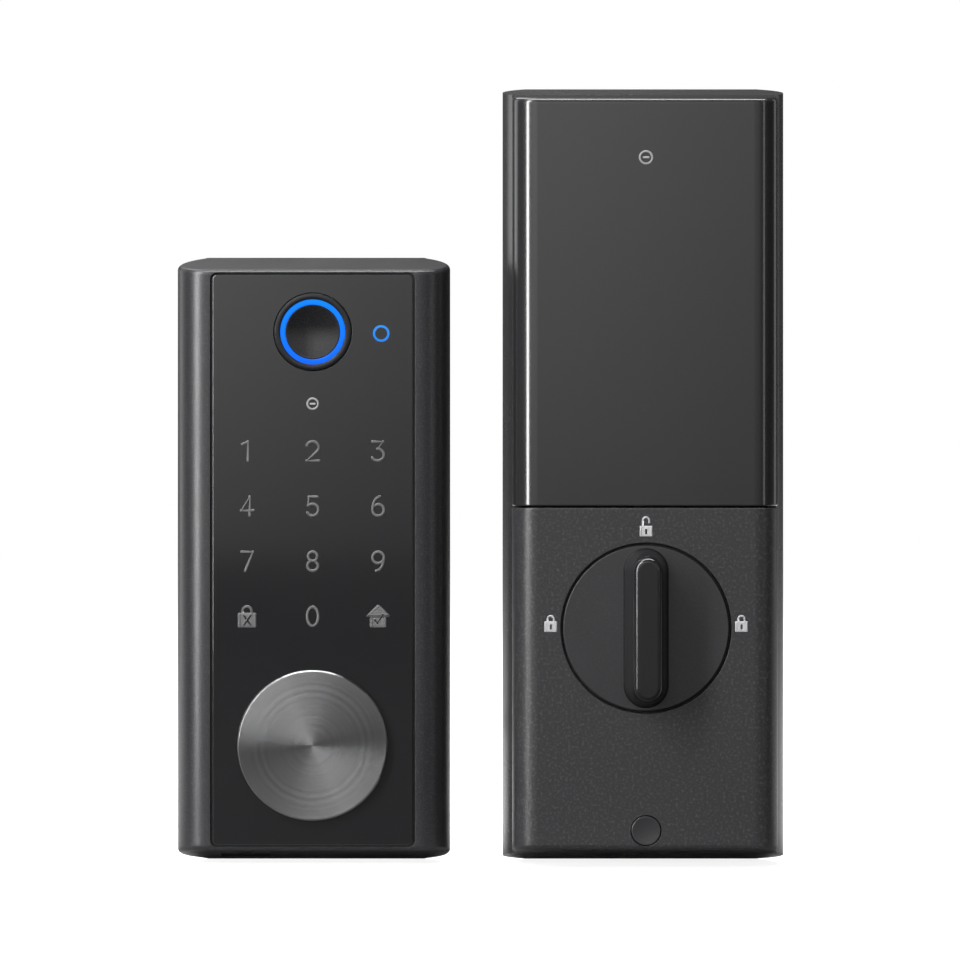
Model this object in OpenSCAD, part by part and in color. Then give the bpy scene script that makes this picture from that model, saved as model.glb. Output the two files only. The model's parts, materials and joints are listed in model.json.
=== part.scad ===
// Keypad smart lock: exterior keypad unit and interior thumb-turn unit, side by side.
// Millimetres, +Z up, fronts towards -Y. The origin is on the key cylinder's axis, at the door's face.

/* [Exterior unit] */
// Width of the exterior unit
ext_w = 67; // [66:1:81]
// Height of the exterior unit at the door
ext_h = 150; // [145:1:180]
// Depth of the exterior unit, from the door to its front face
ext_d = 22; // [22:0.5:26]
// Radius of the front corners, seen from above
ext_corner_r = 8; // [7:0.5:8]
// Radius of the flanks that curve in towards the door, seen from above
ext_flank_r = 18.9; // [17.5:0.1:20]
// How far each end leans in between the door and the front face
ext_lean = 4.3; // [3:0.1:4.5]
// Height of the key cylinder's axis above the bottom end
spindle_h = 29.8; // [29:0.1:36]
// Thickness of the housing's side walls at the door
ext_wall = 2.5; // [2:0.1:3]
// Thickness of the housing's end walls at the front
ext_end_wall = 1.5; // [1.2:0.1:2]
// Thickness of the housing's wall behind the touch panel
ext_front_wall = 2; // [1.6:0.1:2.5]

/* [Touch panel] */
// Thickness of the touch panel
panel_t = 1.5; // [1:0.1:1.8]
// Gap between the touch panel and the housing
panel_gap = 0.5; // [0.2:0.05:0.6]
// Rim of the housing beyond the gap, at the panel's ends
panel_rim = 0.55; // [0.4:0.05:2]
// Rim of the housing beyond the gap, at the panel's sides
panel_side_rim = 0.5; // [0.3:0.05:2]
// Radius of the touch panel's corners
panel_corner_r = 1.2; // [0.8:0.1:3]
// Distance between key columns
key_pitch_x = 16; // [14:0.1:17]
// Distance between key rows
key_pitch_z = 13.45; // [12:0.05:13.5]
// Distance from the top end down to the first row of keys
key_drop = 48.45; // [46:0.05:52]

/* [Fingerprint sensor] */
// Distance from the top end down to the sensor's centre
sensor_drop = 19.35; // [17:0.05:24]
// Outer diameter of the sensor's bezel
sensor_d = 18.85; // [16:0.05:20]
// Outer diameter of the sensor's light ring
sensor_ring_d = 15.9; // [14:0.1:15.9]
// Diameter of the dished sensor pad
sensor_pad_d = 13.4; // [12:0.1:13.6]
// Distance from the sensor sideways to the status light
status_x = 16.7; // [15:0.1:17]
// Outer diameter of the status light ring
status_d = 4.06; // [3:0.01:5]
// Width of the status light's line
status_line = 0.55; // [0.4:0.05:0.8]

/* [Keyhole cover] */
// Diameter of the keyhole cover
cover_d = 36.7; // [36:0.1:38]
// Thickness of the keyhole cover
cover_t = 1.6; // [1.4:0.1:2]
// Distance from the key cylinder's axis up to the cover's pivot
cover_pivot_z = 14.5; // [14.5:0.1:14.8]
// Diameter of the cover's pivot pin
cover_pin_d = 3; // [2.5:0.1:3.2]
// Gap between the cover and the touch panel
cover_gap = 0.3; // [0.2:0.05:0.4]

/* [Key cylinder] */
// Diameter of the key plug
plug_d = 12.7; // [12:0.1:13]
// Outer diameter of the cylinder's shell
shell_d = 16.4; // [16:0.1:17]
// How far the cylinder reaches behind the door's face
shell_reach = 9; // [6:0.5:20]
// Number of pin chambers
pin_count = 5; // [4:1:5]
// Distance between pin chambers
pin_pitch = 4; // [3.8:0.1:4]
// Diameter of the pins
pin_d = 2.9; // [2.6:0.1:2.9]
// Height of the torque blade's section
blade_w = 6.8; // [6:0.1:7]
// Thickness of the torque blade
blade_t = 2.2; // [1.8:0.1:2.4]
// How far the torque blade reaches behind the door's face
blade_reach = 70; // [60:1:90]

/* [Mounting through the door] */
// Distance between the two threaded posts
post_pitch = 38; // [38:0.5:40]
// Outer diameter of the threaded posts
post_d = 7.6; // [7:0.1:8]
// Diameter of the tapped bore in each post
post_bore_d = 4.2; // [4:0.1:5]
// Thickness of the exterior back plate
ext_plate_t = 1.5; // [1.2:0.1:1.7]
// Thickness of the gasket that meets the door
gasket_t = 1.2; // [1:0.1:1.4]

/* [Emergency power port] */
// Distance of the port sideways from the cylinder's axis
port_x = -17.1; // [-17.5:0.1:-16]
// Distance of the port in front of the door's face
port_y = 8.6; // [8:0.1:9]
// Width of the port's flap
port_flap_w = 12; // [11:0.5:12]

/* [Interior unit] */
// Width of the interior unit
int_w = 69; // [69:1:84]
// Height of the interior unit at the door
int_h = 192; // [192:1:232]
// Depth of the interior unit, without the grip
int_d = 34; // [34:0.5:38]
// Half the difference between the frame's shoulders and the covers' sides
shoulder = 2.3; // [1.5:0.1:2.5]
// Depth of the frame, from the door to the covers
frame_d = 22.3; // [22.3:0.1:23]
// Distance from the door to the frame's widest line
shoulder_y = 14; // [13:0.5:15]
// Radius of the covers' front corners, seen from above
int_corner_r = 6.2; // [5:0.1:7]
// Radius of the frame's flanks, seen from above
int_flank_r = 19.3; // [18:0.1:20]
// How far each end leans in between the door and the covers' front face
int_lean = 5.45; // [4:0.05:6]
// Thickness of the covers' walls
cover_wall = 1.8; // [1.5:0.1:1.9]
// Height of the seam between the two covers, above the bottom end
seam_h = 88; // [88:0.5:90]
// Gap at the seam between the two covers
seam_gap = 0.4; // [0.3:0.05:0.8]
// Clear space between the two units
unit_gap = 12.9; // [8:0.1:60]
// Thickness of the mounting plate
plate_t = 2; // [1.5:0.1:2.5]

/* [Batteries] */
// Diameter of a cell
cell_d = 14.2; // [13.8:0.1:14.3]
// Length of a cell with its positive nub
cell_h = 50.5; // [49.5:0.1:50.5]
// Distance between cells
cell_pitch = 14.4; // [14.4:0.1:14.5]
// Distance from the door to the cells' centres
cell_y = 24; // [23.8:0.1:24.2]

/* [Thumb-turn] */
// Height of the thumb-turn's axis above the bottom end
thumb_h = 58.75; // [58.7:0.05:60]
// Diameter of the thumb-turn's disc
thumb_d = 40.5; // [38:0.1:41]
// Gap round the disc
thumb_gap = 0.4; // [0.2:0.05:0.5]
// Width of the grip bar
grip_w = 10.3; // [9:0.1:12]
// Length of the grip bar
grip_l = 38; // [34:0.1:39]
// How far the grip bar stands out of the disc
grip_out = 12; // [8:0.1:15]
// Width of the grip bar's flat ridge
ridge_w = 4.4; // [3:0.1:6]
// Diameter of the thumb-turn's shaft
shaft_d = 16; // [14:0.5:16]

/* [Gear train] */
// Teeth of the drive gear on the thumb-turn's shaft
drive_teeth = 44; // [44:1:44]
// Teeth of the slow compound gear's pinion
slow_pinion_teeth = 11; // [11:1:11]
// Teeth of each compound gear's wheel
wheel_teeth = 36; // [36:1:36]
// Teeth of the fast compound gear's pinion and of the motor's pinion
fast_pinion_teeth = 12; // [12:1:12]
// Module of the drive gear and its pinion
drive_m = 0.8; // [0.8:0.01:0.8]
// Module of the slow compound gear's wheel and its pinion
slow_m = 0.6; // [0.6:0.01:0.6]
// Module of the fast compound gear's wheel and the motor's pinion
fast_m = 0.5; // [0.5:0.01:0.5]
// Backlash between teeth
backlash = 0.12; // [0.08:0.01:0.16]

/* [Buttons] */
// Diameter of the function button
button_d = 7.1; // [6:0.1:7.1]
// Gap round the function button
button_gap = 0.2; // [0.1:0.05:0.25]
// Distance from the bottom end up to the function button
button_h = 9.9; // [9.9:0.05:10.5]
// Diameter of the reset button under the battery cover
reset_d = 3.8; // [3:0.1:4]

/* [Hidden] */
$fn = 72;
fit = 0.05;
slack = 0.3;
pressure_angle = 25;
tooth_shift = 0.35;

// Exterior levels
ext_bottom = -spindle_h;
ext_top = ext_h - spindle_h;
ext_flat = ext_w / 2 - ext_corner_r;
ext_lean_rate = ext_lean / ext_d;
panel_front = -ext_d + 0.1;
panel_back = panel_front + panel_t;
wall_back = panel_back + ext_front_wall;
panel_w = 2 * (ext_flat - panel_side_rim - panel_gap);
panel_z0 = ext_bottom + ext_lean + panel_rim + panel_gap;
panel_z1 = ext_top - ext_lean - panel_rim - panel_gap;
cavity_half = ext_w / 2 - ext_flank_r
    + sqrt(pow(ext_flank_r, 2) - pow(ext_d - ext_corner_r, 2)) - ext_wall;
cavity_z0 = ext_bottom + ext_lean_rate * -wall_back + ext_end_wall + 0.6;
cavity_z1 = ext_top - ext_lean_rate * -wall_back - ext_end_wall - 0.6;
rim_back = -0.4;
plate_front = -gasket_t - ext_plate_t;
screw_x = cavity_half - 2.8;
screw_low = -9;
screw_high = cavity_z1 - 6.4;
sensor_z = ext_top - sensor_drop;
first_row_z = ext_top - key_drop;
cover_back = panel_front - cover_gap;
cover_front = cover_back - cover_t;
window_z0 = 25;
window_z1 = cavity_z1 - 2.4;
window_half = cavity_half - 2.8;

// Key cylinder levels
bible_front = wall_back + 2;
bible_half = 4.2;
bible_top = 15.6;
cap_z = 14.8;
first_pin_y = bible_front + 3.4;
driver_z = plug_d / 2 + 0.1;
key_pin_z = plug_d / 2 - 0.25;
driver_h = 2.75;
post_x = post_pitch / 2;
post_front = -14;
lug_x = 11.6;

// Interior levels
unit_pitch = ext_w / 2 + unit_gap + int_w / 2;
int_top = ext_bottom + int_h;
int_lean_rate = int_lean / int_d;
seam_z = ext_bottom + seam_h;
thumb_z = ext_bottom + thumb_h;
button_z = ext_bottom + button_h;
skirt_half = int_w / 2 - shoulder;
shoulder_rise = frame_d - shoulder_y;
shoulder_r = round(50 * (pow(shoulder, 2) + pow(shoulder_rise, 2)) / shoulder) / 100;
inner_half = skirt_half - cover_wall;
rear_half = inner_half - 1;
step_y = -12;
back_wall_y = -plate_t - 2;
frame_r = 3;
frame_z0 = ext_bottom + int_lean_rate * frame_d + 2.2;
frame_z1 = int_top - int_lean_rate * frame_d - 2.2;
plate_half = int_w / 2 - 8.6;
plate_z0 = frame_z0;
plate_z1 = int_top - 12;
plate_hole_z = [ext_bottom + 10.3, int_top - 20];
boss_x = inner_half - 3.9;
boss_low = ext_bottom + 12.8;
boss_high = seam_z - 3.7;
frame_screw_x = 17;
frame_screw_z = [ext_bottom + 11.8, seam_z - 4.2];

// Battery levels
tray_z1 = frame_z1 - 4;
bay_h = cell_h + 4.8;
tray_z0 = tray_z1 - bay_h - 3;
bay_z0 = tray_z0 + 1.5;
tray_half = 1.5 * cell_pitch + 7.5;
tray_front = -int_d + 3.6;
hook_x = inner_half - 1;
hook_y = [-frame_d - 3.7, -18.7];
hook_z = [seam_z + 6, tray_z1 - 10];
hook_l = 8;
groove_x = inner_half + 1.5;
board_z = [seam_z + 0.5, tray_z1 - 2];
board_half = 24.5;
board_y = [-12.6, -11];
reset_pos = [12, seam_z + 17];

// Thumb-turn levels
thumb_front = -int_d + 0.4;
thumb_back = thumb_front + 2.3;
well_front = thumb_back + 0.3;
well_back = well_front + 1.6;
lid_front = well_back + 0.1;
lid_back = lid_front + 0.8;
base_front = -16.2;
base_back = base_front + 1.6;
shaft_back = -5;
grip_front = thumb_front - grip_out;

// Gear planes and centres
drive_plane = [-28.2, -24.2];
slow_plane = [-23, -20.6];
fast_plane = [-19.2, -17.2];
slow_dir = -110;
fast_dir = -20;
motor_dir = -10;
slow_pos = mesh_step([0, 0], slow_dir, drive_m, drive_teeth + slow_pinion_teeth);
fast_pos = mesh_step(slow_pos, fast_dir, slow_m, wheel_teeth + fast_pinion_teeth);
motor_pos = mesh_step(fast_pos, motor_dir, fast_m, wheel_teeth + fast_pinion_teeth);
axle_d = 2;
motor_r = 10.8;
drive_phase = 0;
slow_phase = mesh_phase(drive_phase, slow_dir, drive_teeth, slow_pinion_teeth);
fast_phase = mesh_phase(0, fast_dir, wheel_teeth, fast_pinion_teeth);
motor_phase = mesh_phase(0, motor_dir, wheel_teeth, fast_pinion_teeth);
case_screws = [[-25, 16.5], [25, 16.5], [-25, -36]];

// Angle, in degrees, that an involute from base radius rb has turned through at radius r
function involute(rb, r) = r <= rb ? 0 : sqrt(pow(r / rb, 2) - 1) * 180 / PI - acos(rb / r);

// Centre of a gear that meshes with the one at p, in a direction seen from the front
function mesh_step(p, dir, m, teeth) = p + m * teeth / 2 * [cos(dir), sin(dir)];

// Turn that puts a gear's space opposite its neighbour's tooth, in a direction seen from the front
function mesh_phase(other, dir, other_teeth, teeth) =
    dir + 180 + 180 / teeth - (other - dir) * other_teeth / teeth;

// Vertices and faces of a round wire wound on a cone, with closed ends
function coil_points(r0, r1, h, turns, wire, steps, sides) = [
    for (i = [0 : steps]) let (
        t = i / steps,
        a = 360 * turns * t,
        r = r0 + (r1 - r0) * t
    ) for (k = [0 : sides - 1]) let (
        b = 360 * k / sides,
        q = r + wire / 2 * cos(b)
    ) [q * cos(a), q * sin(a), (h - wire) * t + wire / 2 + wire / 2 * sin(b)]
];
function coil_faces(steps, sides) = concat(
    [[for (k = [sides - 1 : -1 : 0]) k]],
    [for (i = [0 : steps - 1], k = [0 : sides - 1]) let (
        a = i * sides + k,
        b = i * sides + (k + 1) % sides
    ) each [[a, b, a + sides], [b, b + sides, a + sides]]],
    [[for (k = [0 : sides - 1]) steps * sides + k]]
);

// A wire spring standing on z = 0
module coil(r0, r1, h, turns, wire, per_turn = 10, sides = 5) {
    steps = round(turns * per_turn);
    polyhedron(
        coil_points(r0, r1, h, turns, wire, steps, sides),
        coil_faces(steps, sides)
    );
}

// A flat outline in X and Z, given thickness from y0 back to y1
module slab(y0, y1) {
    translate([0, y1, 0]) rotate([90, 0, 0]) linear_extrude(y1 - y0) children();
}

// A round bar along Y
module rod(x, z, r, y0, y1) {
    translate([x, y1, z]) rotate([90, 0, 0]) cylinder(r = r, h = y1 - y0);
}

// A round ring along Y
module ring(x, z, r, bore, y0, y1) {
    difference() {
        rod(x, z, r, y0, y1);
        rod(x, z, bore, y0 - 1, y1 + 1);
    }
}

// A cone frustum along Y, of radius r0 at y0 and r1 at y1
module cone(x, z, r0, r1, y0, y1) {
    translate([x, y1, z]) rotate([90, 0, 0]) cylinder(r1 = r1, r2 = r0, h = y1 - y0);
}

// A box given by its limits along each axis
module block(x, y, z) {
    translate([x[0], y[0], z[0]]) cube([x[1] - x[0], y[1] - y[0], z[1] - z[0]]);
}

// A rectangle in X and Z between z0 and z1, with round corners
module rounded(half, z0, z1, r) {
    translate([-half + r, z0]) square([2 * (half - r), z1 - z0]);
    translate([-half, z0 + r]) square([2 * half, z1 - z0 - 2 * r]);
    for (x = [-half + r, half - r], z = [z0 + r, z1 - r]) translate([x, z]) circle(r);
}

// A band of a unit's plan, between y0 and y1, whose sides are arcs centred at yc
module arc_band(half, r, yc, y0, y1) {
    intersection() {
        union() {
            for (s = [-1, 1]) translate([s * (half - r), yc]) circle(r);
            translate([-half + r, y0]) square([2 * (half - r), y1 - y0]);
        }
        translate([-half, y0]) square([2 * half, y1 - y0]);
    }
}

// The space between two planes that lean in towards the front
module leaning_ends(z0, z1, rate, depth, half) {
    rotate([90, 0, 90]) linear_extrude(2 * half, center = true)
        polygon([
            [1, z0 - rate], [1, z1 + rate],
            [-depth - 1, z1 - rate * (depth + 1)], [-depth - 1, z0 + rate * (depth + 1)]
        ]);
}

// A screw along Y whose countersunk head ends flush at y1
module flush_screw(x, z, r, head_r, y0, y1) {
    cone(x, z, r, head_r, y1 - (head_r - r), y1);
    rod(x, z, r, y0, y1 - (head_r - r));
}

// A screw along Y whose pan head ends at y1, with a driver recess
module pan_screw(x, z, r, head_r, head_t, y0, y1) {
    difference() {
        union() {
            rod(x, z, head_r, y1 - head_t, y1);
            rod(x, z, r, y0, y1 - head_t);
        }
        block([x - head_r * 0.6, x + head_r * 0.6], [y1 - head_t / 2, y1 + 1], [z - 0.3, z + 0.3]);
        block([x - 0.3, x + 0.3], [y1 - head_t / 2, y1 + 1], [z - head_r * 0.6, z + head_r * 0.6]);
    }
}

// A spur gear's outline, with a tooth at angle 0 and profile shift x
module gear_outline(teeth, m, x) {
    pitch_r = m * teeth / 2;
    base_r = pitch_r * cos(pressure_angle);
    root_r = pitch_r - m * (1.25 - x);
    tip_r = pitch_r + m * (1 + x) - 0.05 * m;
    half = 90 / teeth + (2 * x * tan(pressure_angle) / teeth - backlash / (m * teeth)) * 180 / PI
        + involute(pitch_r * cos(pressure_angle), pitch_r);
    radii = root_r < base_r
        ? [root_r, base_r, (base_r + tip_r) / 2, tip_r]
        : [root_r, (2 * root_r + tip_r) / 3, (root_r + 2 * tip_r) / 3, tip_r];
    polygon([
        for (i = [0 : teeth - 1]) each concat(
            [for (r = radii) let (a = 360 * i / teeth - half + involute(base_r, r))
                [r * cos(a), r * sin(a)]],
            [for (j = [3 : -1 : 0]) let (a = 360 * i / teeth + half - involute(base_r, radii[j]))
                [radii[j] * cos(a), radii[j] * sin(a)]]
        )
    ]);
}

// A toothed wheel along Y, turned by phase as seen from the front
module spur(pos, teeth, m, x, phase, planes) {
    slab(planes[0], planes[1])
        translate([pos.x, pos.y]) rotate(phase) gear_outline(teeth, m, x);
}

// Frames of reference: the interior unit's centre line, and the thumb-turn's axis on it
module at_interior() {
    translate([unit_pitch, 0, 0]) children();
}
module at_thumb() {
    translate([unit_pitch, 0, thumb_z]) children();
}

// The port's frame on the leaning bottom end: x along the end, y along it towards the door, z inwards
module at_port() {
    translate([port_x, -port_y, ext_bottom + ext_lean_rate * port_y])
        rotate([-atan(ext_lean_rate), 0, 0]) children();
}

// ---- Exterior unit ----

module ext_envelope() {
    intersection() {
        translate([0, 0, ext_bottom - 1]) linear_extrude(ext_h + 2) {
            arc_band(ext_w / 2, ext_corner_r, -ext_d + ext_corner_r, -ext_d, -ext_d + ext_corner_r);
            arc_band(ext_w / 2, ext_flank_r, -ext_d + ext_corner_r, -ext_d + ext_corner_r, rim_back);
        }
        leaning_ends(ext_bottom, ext_top, ext_lean_rate, ext_d, ext_w);
    }
}

module ext_housing() {
    color([0.17, 0.17, 0.18]) difference() {
        union() {
            difference() {
                ext_envelope();
                slab(wall_back, 1) rounded(cavity_half, cavity_z0, cavity_z1, 3);
            }
            for (s = [-1, 1]) {
                rod(s * screw_x, screw_low, 3, wall_back - 0.5, plate_front);
                rod(s * screw_x, screw_high, 3, wall_back + 1.6, plate_front);
                rod(s * lug_x, 0, 3.2, wall_back - 0.5, bible_front);
            }
        }
        slab(-ext_d - 1, panel_back)
            rounded(panel_w / 2 + panel_gap, panel_z0 - panel_gap, panel_z1 + panel_gap,
                panel_corner_r + panel_gap);
        slab(panel_back - 1, wall_back + 1) rounded(window_half, window_z0, window_z1, 2);
        rod(0, 0, shell_d / 2 + 1.3, panel_back - 1, wall_back + 1);
        rod(0, cover_pivot_z, cover_pin_d / 2 + fit, panel_back - 1, wall_back + 1);
        rod(0, -cover_pivot_z, 2.5, panel_back - 1, panel_back + 1.5);
        for (s = [-1, 1]) {
            rod(s * screw_x, screw_low, 1.2, plate_front - 8, plate_front + 1);
            rod(s * screw_x, screw_high, 1.2, plate_front - 8, plate_front + 1);
            rod(s * lug_x, 0, 1.2, wall_back, bible_front + 1);
        }
        at_port() {
            block([-port_flap_w / 2 - slack, port_flap_w / 2 + slack], [-4.3, 4.5], [-1, 1.9]);
            translate([0, 3.1, 0.95]) rotate([0, 90, 0])
                cylinder(r = 0.5 + fit, h = port_flap_w + 3, center = true);
            block([-1.6, 1.6], [-5.2, -4], [-1, 0.6]);
        }
        block([port_x - 4.55, port_x + 4.55], [-port_y - 1.65, -port_y + 1.65],
            [ext_bottom, cavity_z0 + 1]);
    }
}

module touch_panel() {
    color([0.05, 0.05, 0.055]) difference() {
        slab(panel_front, panel_back) rounded(panel_w / 2, panel_z0, panel_z1, panel_corner_r);
        rod(0, sensor_z, sensor_d / 2 + 0.1, panel_front - 1, panel_back + 1);
        rod(0, 0, shell_d / 2 + 1.4, panel_front - 1, panel_back + 1);
        rod(0, cover_pivot_z, cover_pin_d / 2 + 0.4, panel_front - 1, panel_back + 1);
        ring(status_x, sensor_z - 0.35, status_d / 2, status_d / 2 - status_line,
            panel_front - 1, panel_front + 0.5);
    }
}

module light_guide() {
    color([0.85, 0.88, 0.9]) difference() {
        slab(panel_back, wall_back)
            rounded(window_half - slack, window_z0 + slack, window_z1 - slack, 1.7);
        rod(0, sensor_z, sensor_d / 2 + slack, panel_back - 1, wall_back + 1);
        at_keys() rod(0, 0, 1.5, wall_back - 0.9, wall_back + 1);
        rod(status_x, sensor_z - 0.35, 1.5, wall_back - 0.9, wall_back + 1);
    }
}

module at_keys() {
    for (i = [-1 : 1], j = [0 : 3])
        translate([i * key_pitch_x, 0, first_row_z - j * key_pitch_z]) children();
}

module keypad_board() {
    color([0.1, 0.3, 0.2]) difference() {
        slab(wall_back, wall_back + 1.2)
            rounded(cavity_half - 1.2, window_z0 - 1, cavity_z1 - 0.6, 2);
        rod(0, sensor_z, sensor_d / 2 + slack, wall_back - 1, wall_back + 2);
    }
}

module keypad_leds() {
    color([0.95, 0.95, 0.85]) {
        at_keys() block([-0.8, 0.8], [wall_back - 0.7, wall_back], [-0.4, 0.4]);
        translate([status_x, 0, sensor_z - 0.35])
            block([-0.8, 0.8], [wall_back - 0.7, wall_back], [-0.4, 0.4]);
    }
}

module sensor_bezel() {
    color([0.12, 0.12, 0.13])
        ring(0, sensor_z, sensor_d / 2, sensor_ring_d / 2, panel_front - 0.3, wall_back);
}

module sensor_light_ring() {
    color([0.1, 0.45, 1])
        ring(0, sensor_z, sensor_ring_d / 2, sensor_pad_d / 2, panel_front - 0.1, wall_back + 1.2);
}

module sensor_pad() {
    color([0.06, 0.06, 0.07]) difference() {
        rod(0, sensor_z, sensor_pad_d / 2, panel_front + 0.1, wall_back + 1.2);
        translate([0, panel_front + 0.9 - 30, sensor_z]) sphere(30);
    }
}

module sensor_board() {
    color([0.1, 0.3, 0.2]) slab(wall_back + 1.2, wall_back + 2.2)
        translate([0, sensor_z]) rounded(10.5, -10.5, 10.5, 1);
}

module status_light_ring() {
    color([0.15, 0.6, 1]) ring(status_x, sensor_z - 0.35, status_d / 2, status_d / 2 - status_line,
        panel_front, panel_front + 0.5);
}

module keyhole_cover() {
    color([0.3, 0.3, 0.31]) difference() {
        union() {
            rod(0, 0, cover_d / 2, cover_front + 0.4, cover_back);
            cone(0, 0, cover_d / 2 - 0.4, cover_d / 2, cover_front, cover_front + 0.4);
        }
        rod(0, cover_pivot_z, cover_pin_d / 2, cover_back - 0.8, cover_back + 1);
        rod(0, -cover_pivot_z, 2.5, cover_back - 1, cover_back + 1);
    }
}

module cover_pivot_pin() {
    color("silver") difference() {
        rod(0, cover_pivot_z, cover_pin_d / 2, cover_back - 0.8, wall_back + 1.6);
        ring(0, cover_pivot_z, cover_pin_d, cover_pin_d / 2 - 0.4, wall_back + 0.5, wall_back + 1.1);
    }
}

module cover_wave_washer() {
    color("silver")
        ring(0, cover_pivot_z, 3.2, cover_pin_d / 2, wall_back + fit, wall_back + 0.45);
}

module cover_pivot_clip() {
    color("dimgray") difference() {
        ring(0, cover_pivot_z, 2.9, cover_pin_d / 2 - 0.4, wall_back + 0.5, wall_back + 1.1);
        block([-0.7, 0.7], [wall_back, wall_back + 2], [cover_pivot_z, cover_pivot_z + 4]);
    }
}

module cover_magnet() {
    color("silver") rod(0, -cover_pivot_z, 2.5, cover_back - 1, cover_back);
}

module latch_magnet() {
    color("silver") rod(0, -cover_pivot_z, 2.5, panel_back, panel_back + 1.5);
}

module cylinder_shell() {
    color([0.72, 0.6, 0.35]) difference() {
        union() {
            rod(0, 0, shell_d / 2, panel_front, shell_reach);
            rod(0, 0, shell_d / 2 + 1.2, panel_front, wall_back);
            block([-bible_half, bible_half], [bible_front, shell_reach], [0, bible_top]);
            block([-lug_x - 3, lug_x + 3], [bible_front, bible_front + 2], [-3.2, 3.2]);
        }
        rod(0, 0, plug_d / 2 + fit, panel_front - 1, shell_reach + 1);
        rod(0, 0, plug_d / 2 + 0.95, panel_front - 1, panel_front + 1.3);
        at_pins() cylinder(r = pin_d / 2 + 0.1, h = cap_z);
        block([-2.2, 2.2], [first_pin_y - 2, first_pin_y + (pin_count - 1) * pin_pitch + 2],
            [cap_z, bible_top + 1]);
        for (s = [-1, 1]) rod(s * lug_x, 0, 1.5, bible_front - 1, bible_front + 3);
    }
}

module at_pins() {
    for (i = [0 : pin_count - 1]) translate([0, first_pin_y + i * pin_pitch, 0]) children();
}

module key_plug() {
    color([0.78, 0.66, 0.4]) difference() {
        union() {
            rod(0, 0, plug_d / 2, panel_front + 0.1, shell_reach);
            rod(0, 0, plug_d / 2 + 0.85, panel_front + 0.1, panel_front + 1.25);
        }
        block([-1.2, 1.2], [panel_front - 1, shell_reach - 1.5], [-4.8, 3.2]);
        block([-1.2, 2], [panel_front - 1, shell_reach - 1.5], [-1.6, -0.4]);
        at_pins() cylinder(r = pin_d / 2 + 0.1, h = plug_d);
    }
}

module key_pins() {
    cuts = [0.6, 1.4, 0.2, 1.8, 1];
    color([0.85, 0.72, 0.4]) for (i = [0 : pin_count - 1])
        translate([0, first_pin_y + i * pin_pitch, cuts[i]]) {
            cylinder(r1 = 0.5, r2 = pin_d / 2, h = 1);
            translate([0, 0, 1]) cylinder(r = pin_d / 2, h = key_pin_z - cuts[i] - 1);
        }
}

module driver_pins() {
    color("silver") at_pins() translate([0, 0, driver_z]) cylinder(r = pin_d / 2, h = driver_h);
}

module pin_springs() {
    color("silver") at_pins() translate([0, 0, driver_z + driver_h])
        coil(pin_d / 2 - 0.2, pin_d / 2 - 0.2, cap_z - driver_z - driver_h, 4, 0.36);
}

module pin_chamber_cap() {
    color([0.72, 0.6, 0.35])
        block([-2.2, 2.2], [first_pin_y - 2, first_pin_y + (pin_count - 1) * pin_pitch + 2],
            [cap_z, bible_top]);
}

module tail_cam() {
    color([0.6, 0.6, 0.62]) difference() {
        union() {
            rod(0, 0, plug_d / 2, shell_reach, shell_reach + fit);
            rod(0, 0, shell_d / 2 - 0.6, shell_reach + fit, shell_reach + 3);
        }
        block([-blade_w / 2, blade_w / 2], [shell_reach - 1, shell_reach + 4],
            [-blade_t / 2, blade_t / 2]);
    }
}

module torque_blade() {
    color([0.7, 0.7, 0.72]) slab(shell_reach, blade_reach) difference() {
        square([blade_w, blade_t], center = true);
        for (s = [-1, 1]) translate([s * blade_w / 2, blade_t / 2]) rotate(45)
            square(0.6, center = true);
    }
}

module cylinder_screws() {
    color("silver") for (s = [-1, 1])
        pan_screw(s * lug_x, 0, 1.2, 2.6, 1.7, wall_back, bible_front + 3.7);
}

module mounting_posts() {
    color("silver") for (s = [-1, 1]) difference() {
        union() {
            rod(s * post_x, 0, post_d / 2, post_front, 0);
            rod(s * post_x, 0, post_d / 2 + 1.4, plate_front - 2, plate_front);
        }
        rod(s * post_x, 0, post_bore_d / 2, post_front + 1.5, 1);
    }
}

module ext_back_plate() {
    color([0.5, 0.5, 0.52]) difference() {
        slab(plate_front, -gasket_t)
            rounded(cavity_half - slack, cavity_z0 + slack, cavity_z1 - slack, 2.7);
        rod(0, 0, shell_d / 2 + slack, plate_front - 1, 0);
        block([-bible_half - slack, bible_half + slack], [plate_front - 1, 0],
            [0, bible_top + slack]);
        rod(0, -16, 4.4, plate_front - 1, 0);
        for (s = [-1, 1]) {
            rod(s * post_x, 0, post_d / 2, plate_front - 1, 0);
            for (z = [screw_low, screw_high])
                flush_screw(s * screw_x, z, 1.2, 2.4, plate_front - 1, -gasket_t);
        }
    }
}

module back_plate_screws() {
    color("dimgray") for (s = [-1, 1], z = [screw_low, screw_high])
        flush_screw(s * screw_x, z, 1.2, 2.4, plate_front - 7, -gasket_t);
}

module ext_gasket() {
    color([0.1, 0.1, 0.1]) slab(-gasket_t, 0) difference() {
        rounded(cavity_half - slack, cavity_z0 + slack, cavity_z1 - slack, 2.7);
        difference() {
            rounded(cavity_half - 2.2, cavity_z0 + 2.2, cavity_z1 - 2.2, 1.2);
            for (s = [-1, 1], z = [screw_low, screw_high]) translate([s * screw_x, z]) circle(3.4);
        }
        for (s = [-1, 1]) translate([s * post_x, 0]) circle(post_d / 2 + slack);
    }
}

module cable_grommet() {
    color([0.1, 0.1, 0.1]) difference() {
        union() {
            rod(0, -16, 4.4, plate_front - 1.2, -0.2);
            rod(0, -16, 5.6, plate_front - 1.2, plate_front);
            rod(0, -16, 5.6, -gasket_t, -0.2);
        }
        rod(0, -16, 2.4, plate_front - 2, 1);
    }
}

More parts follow.
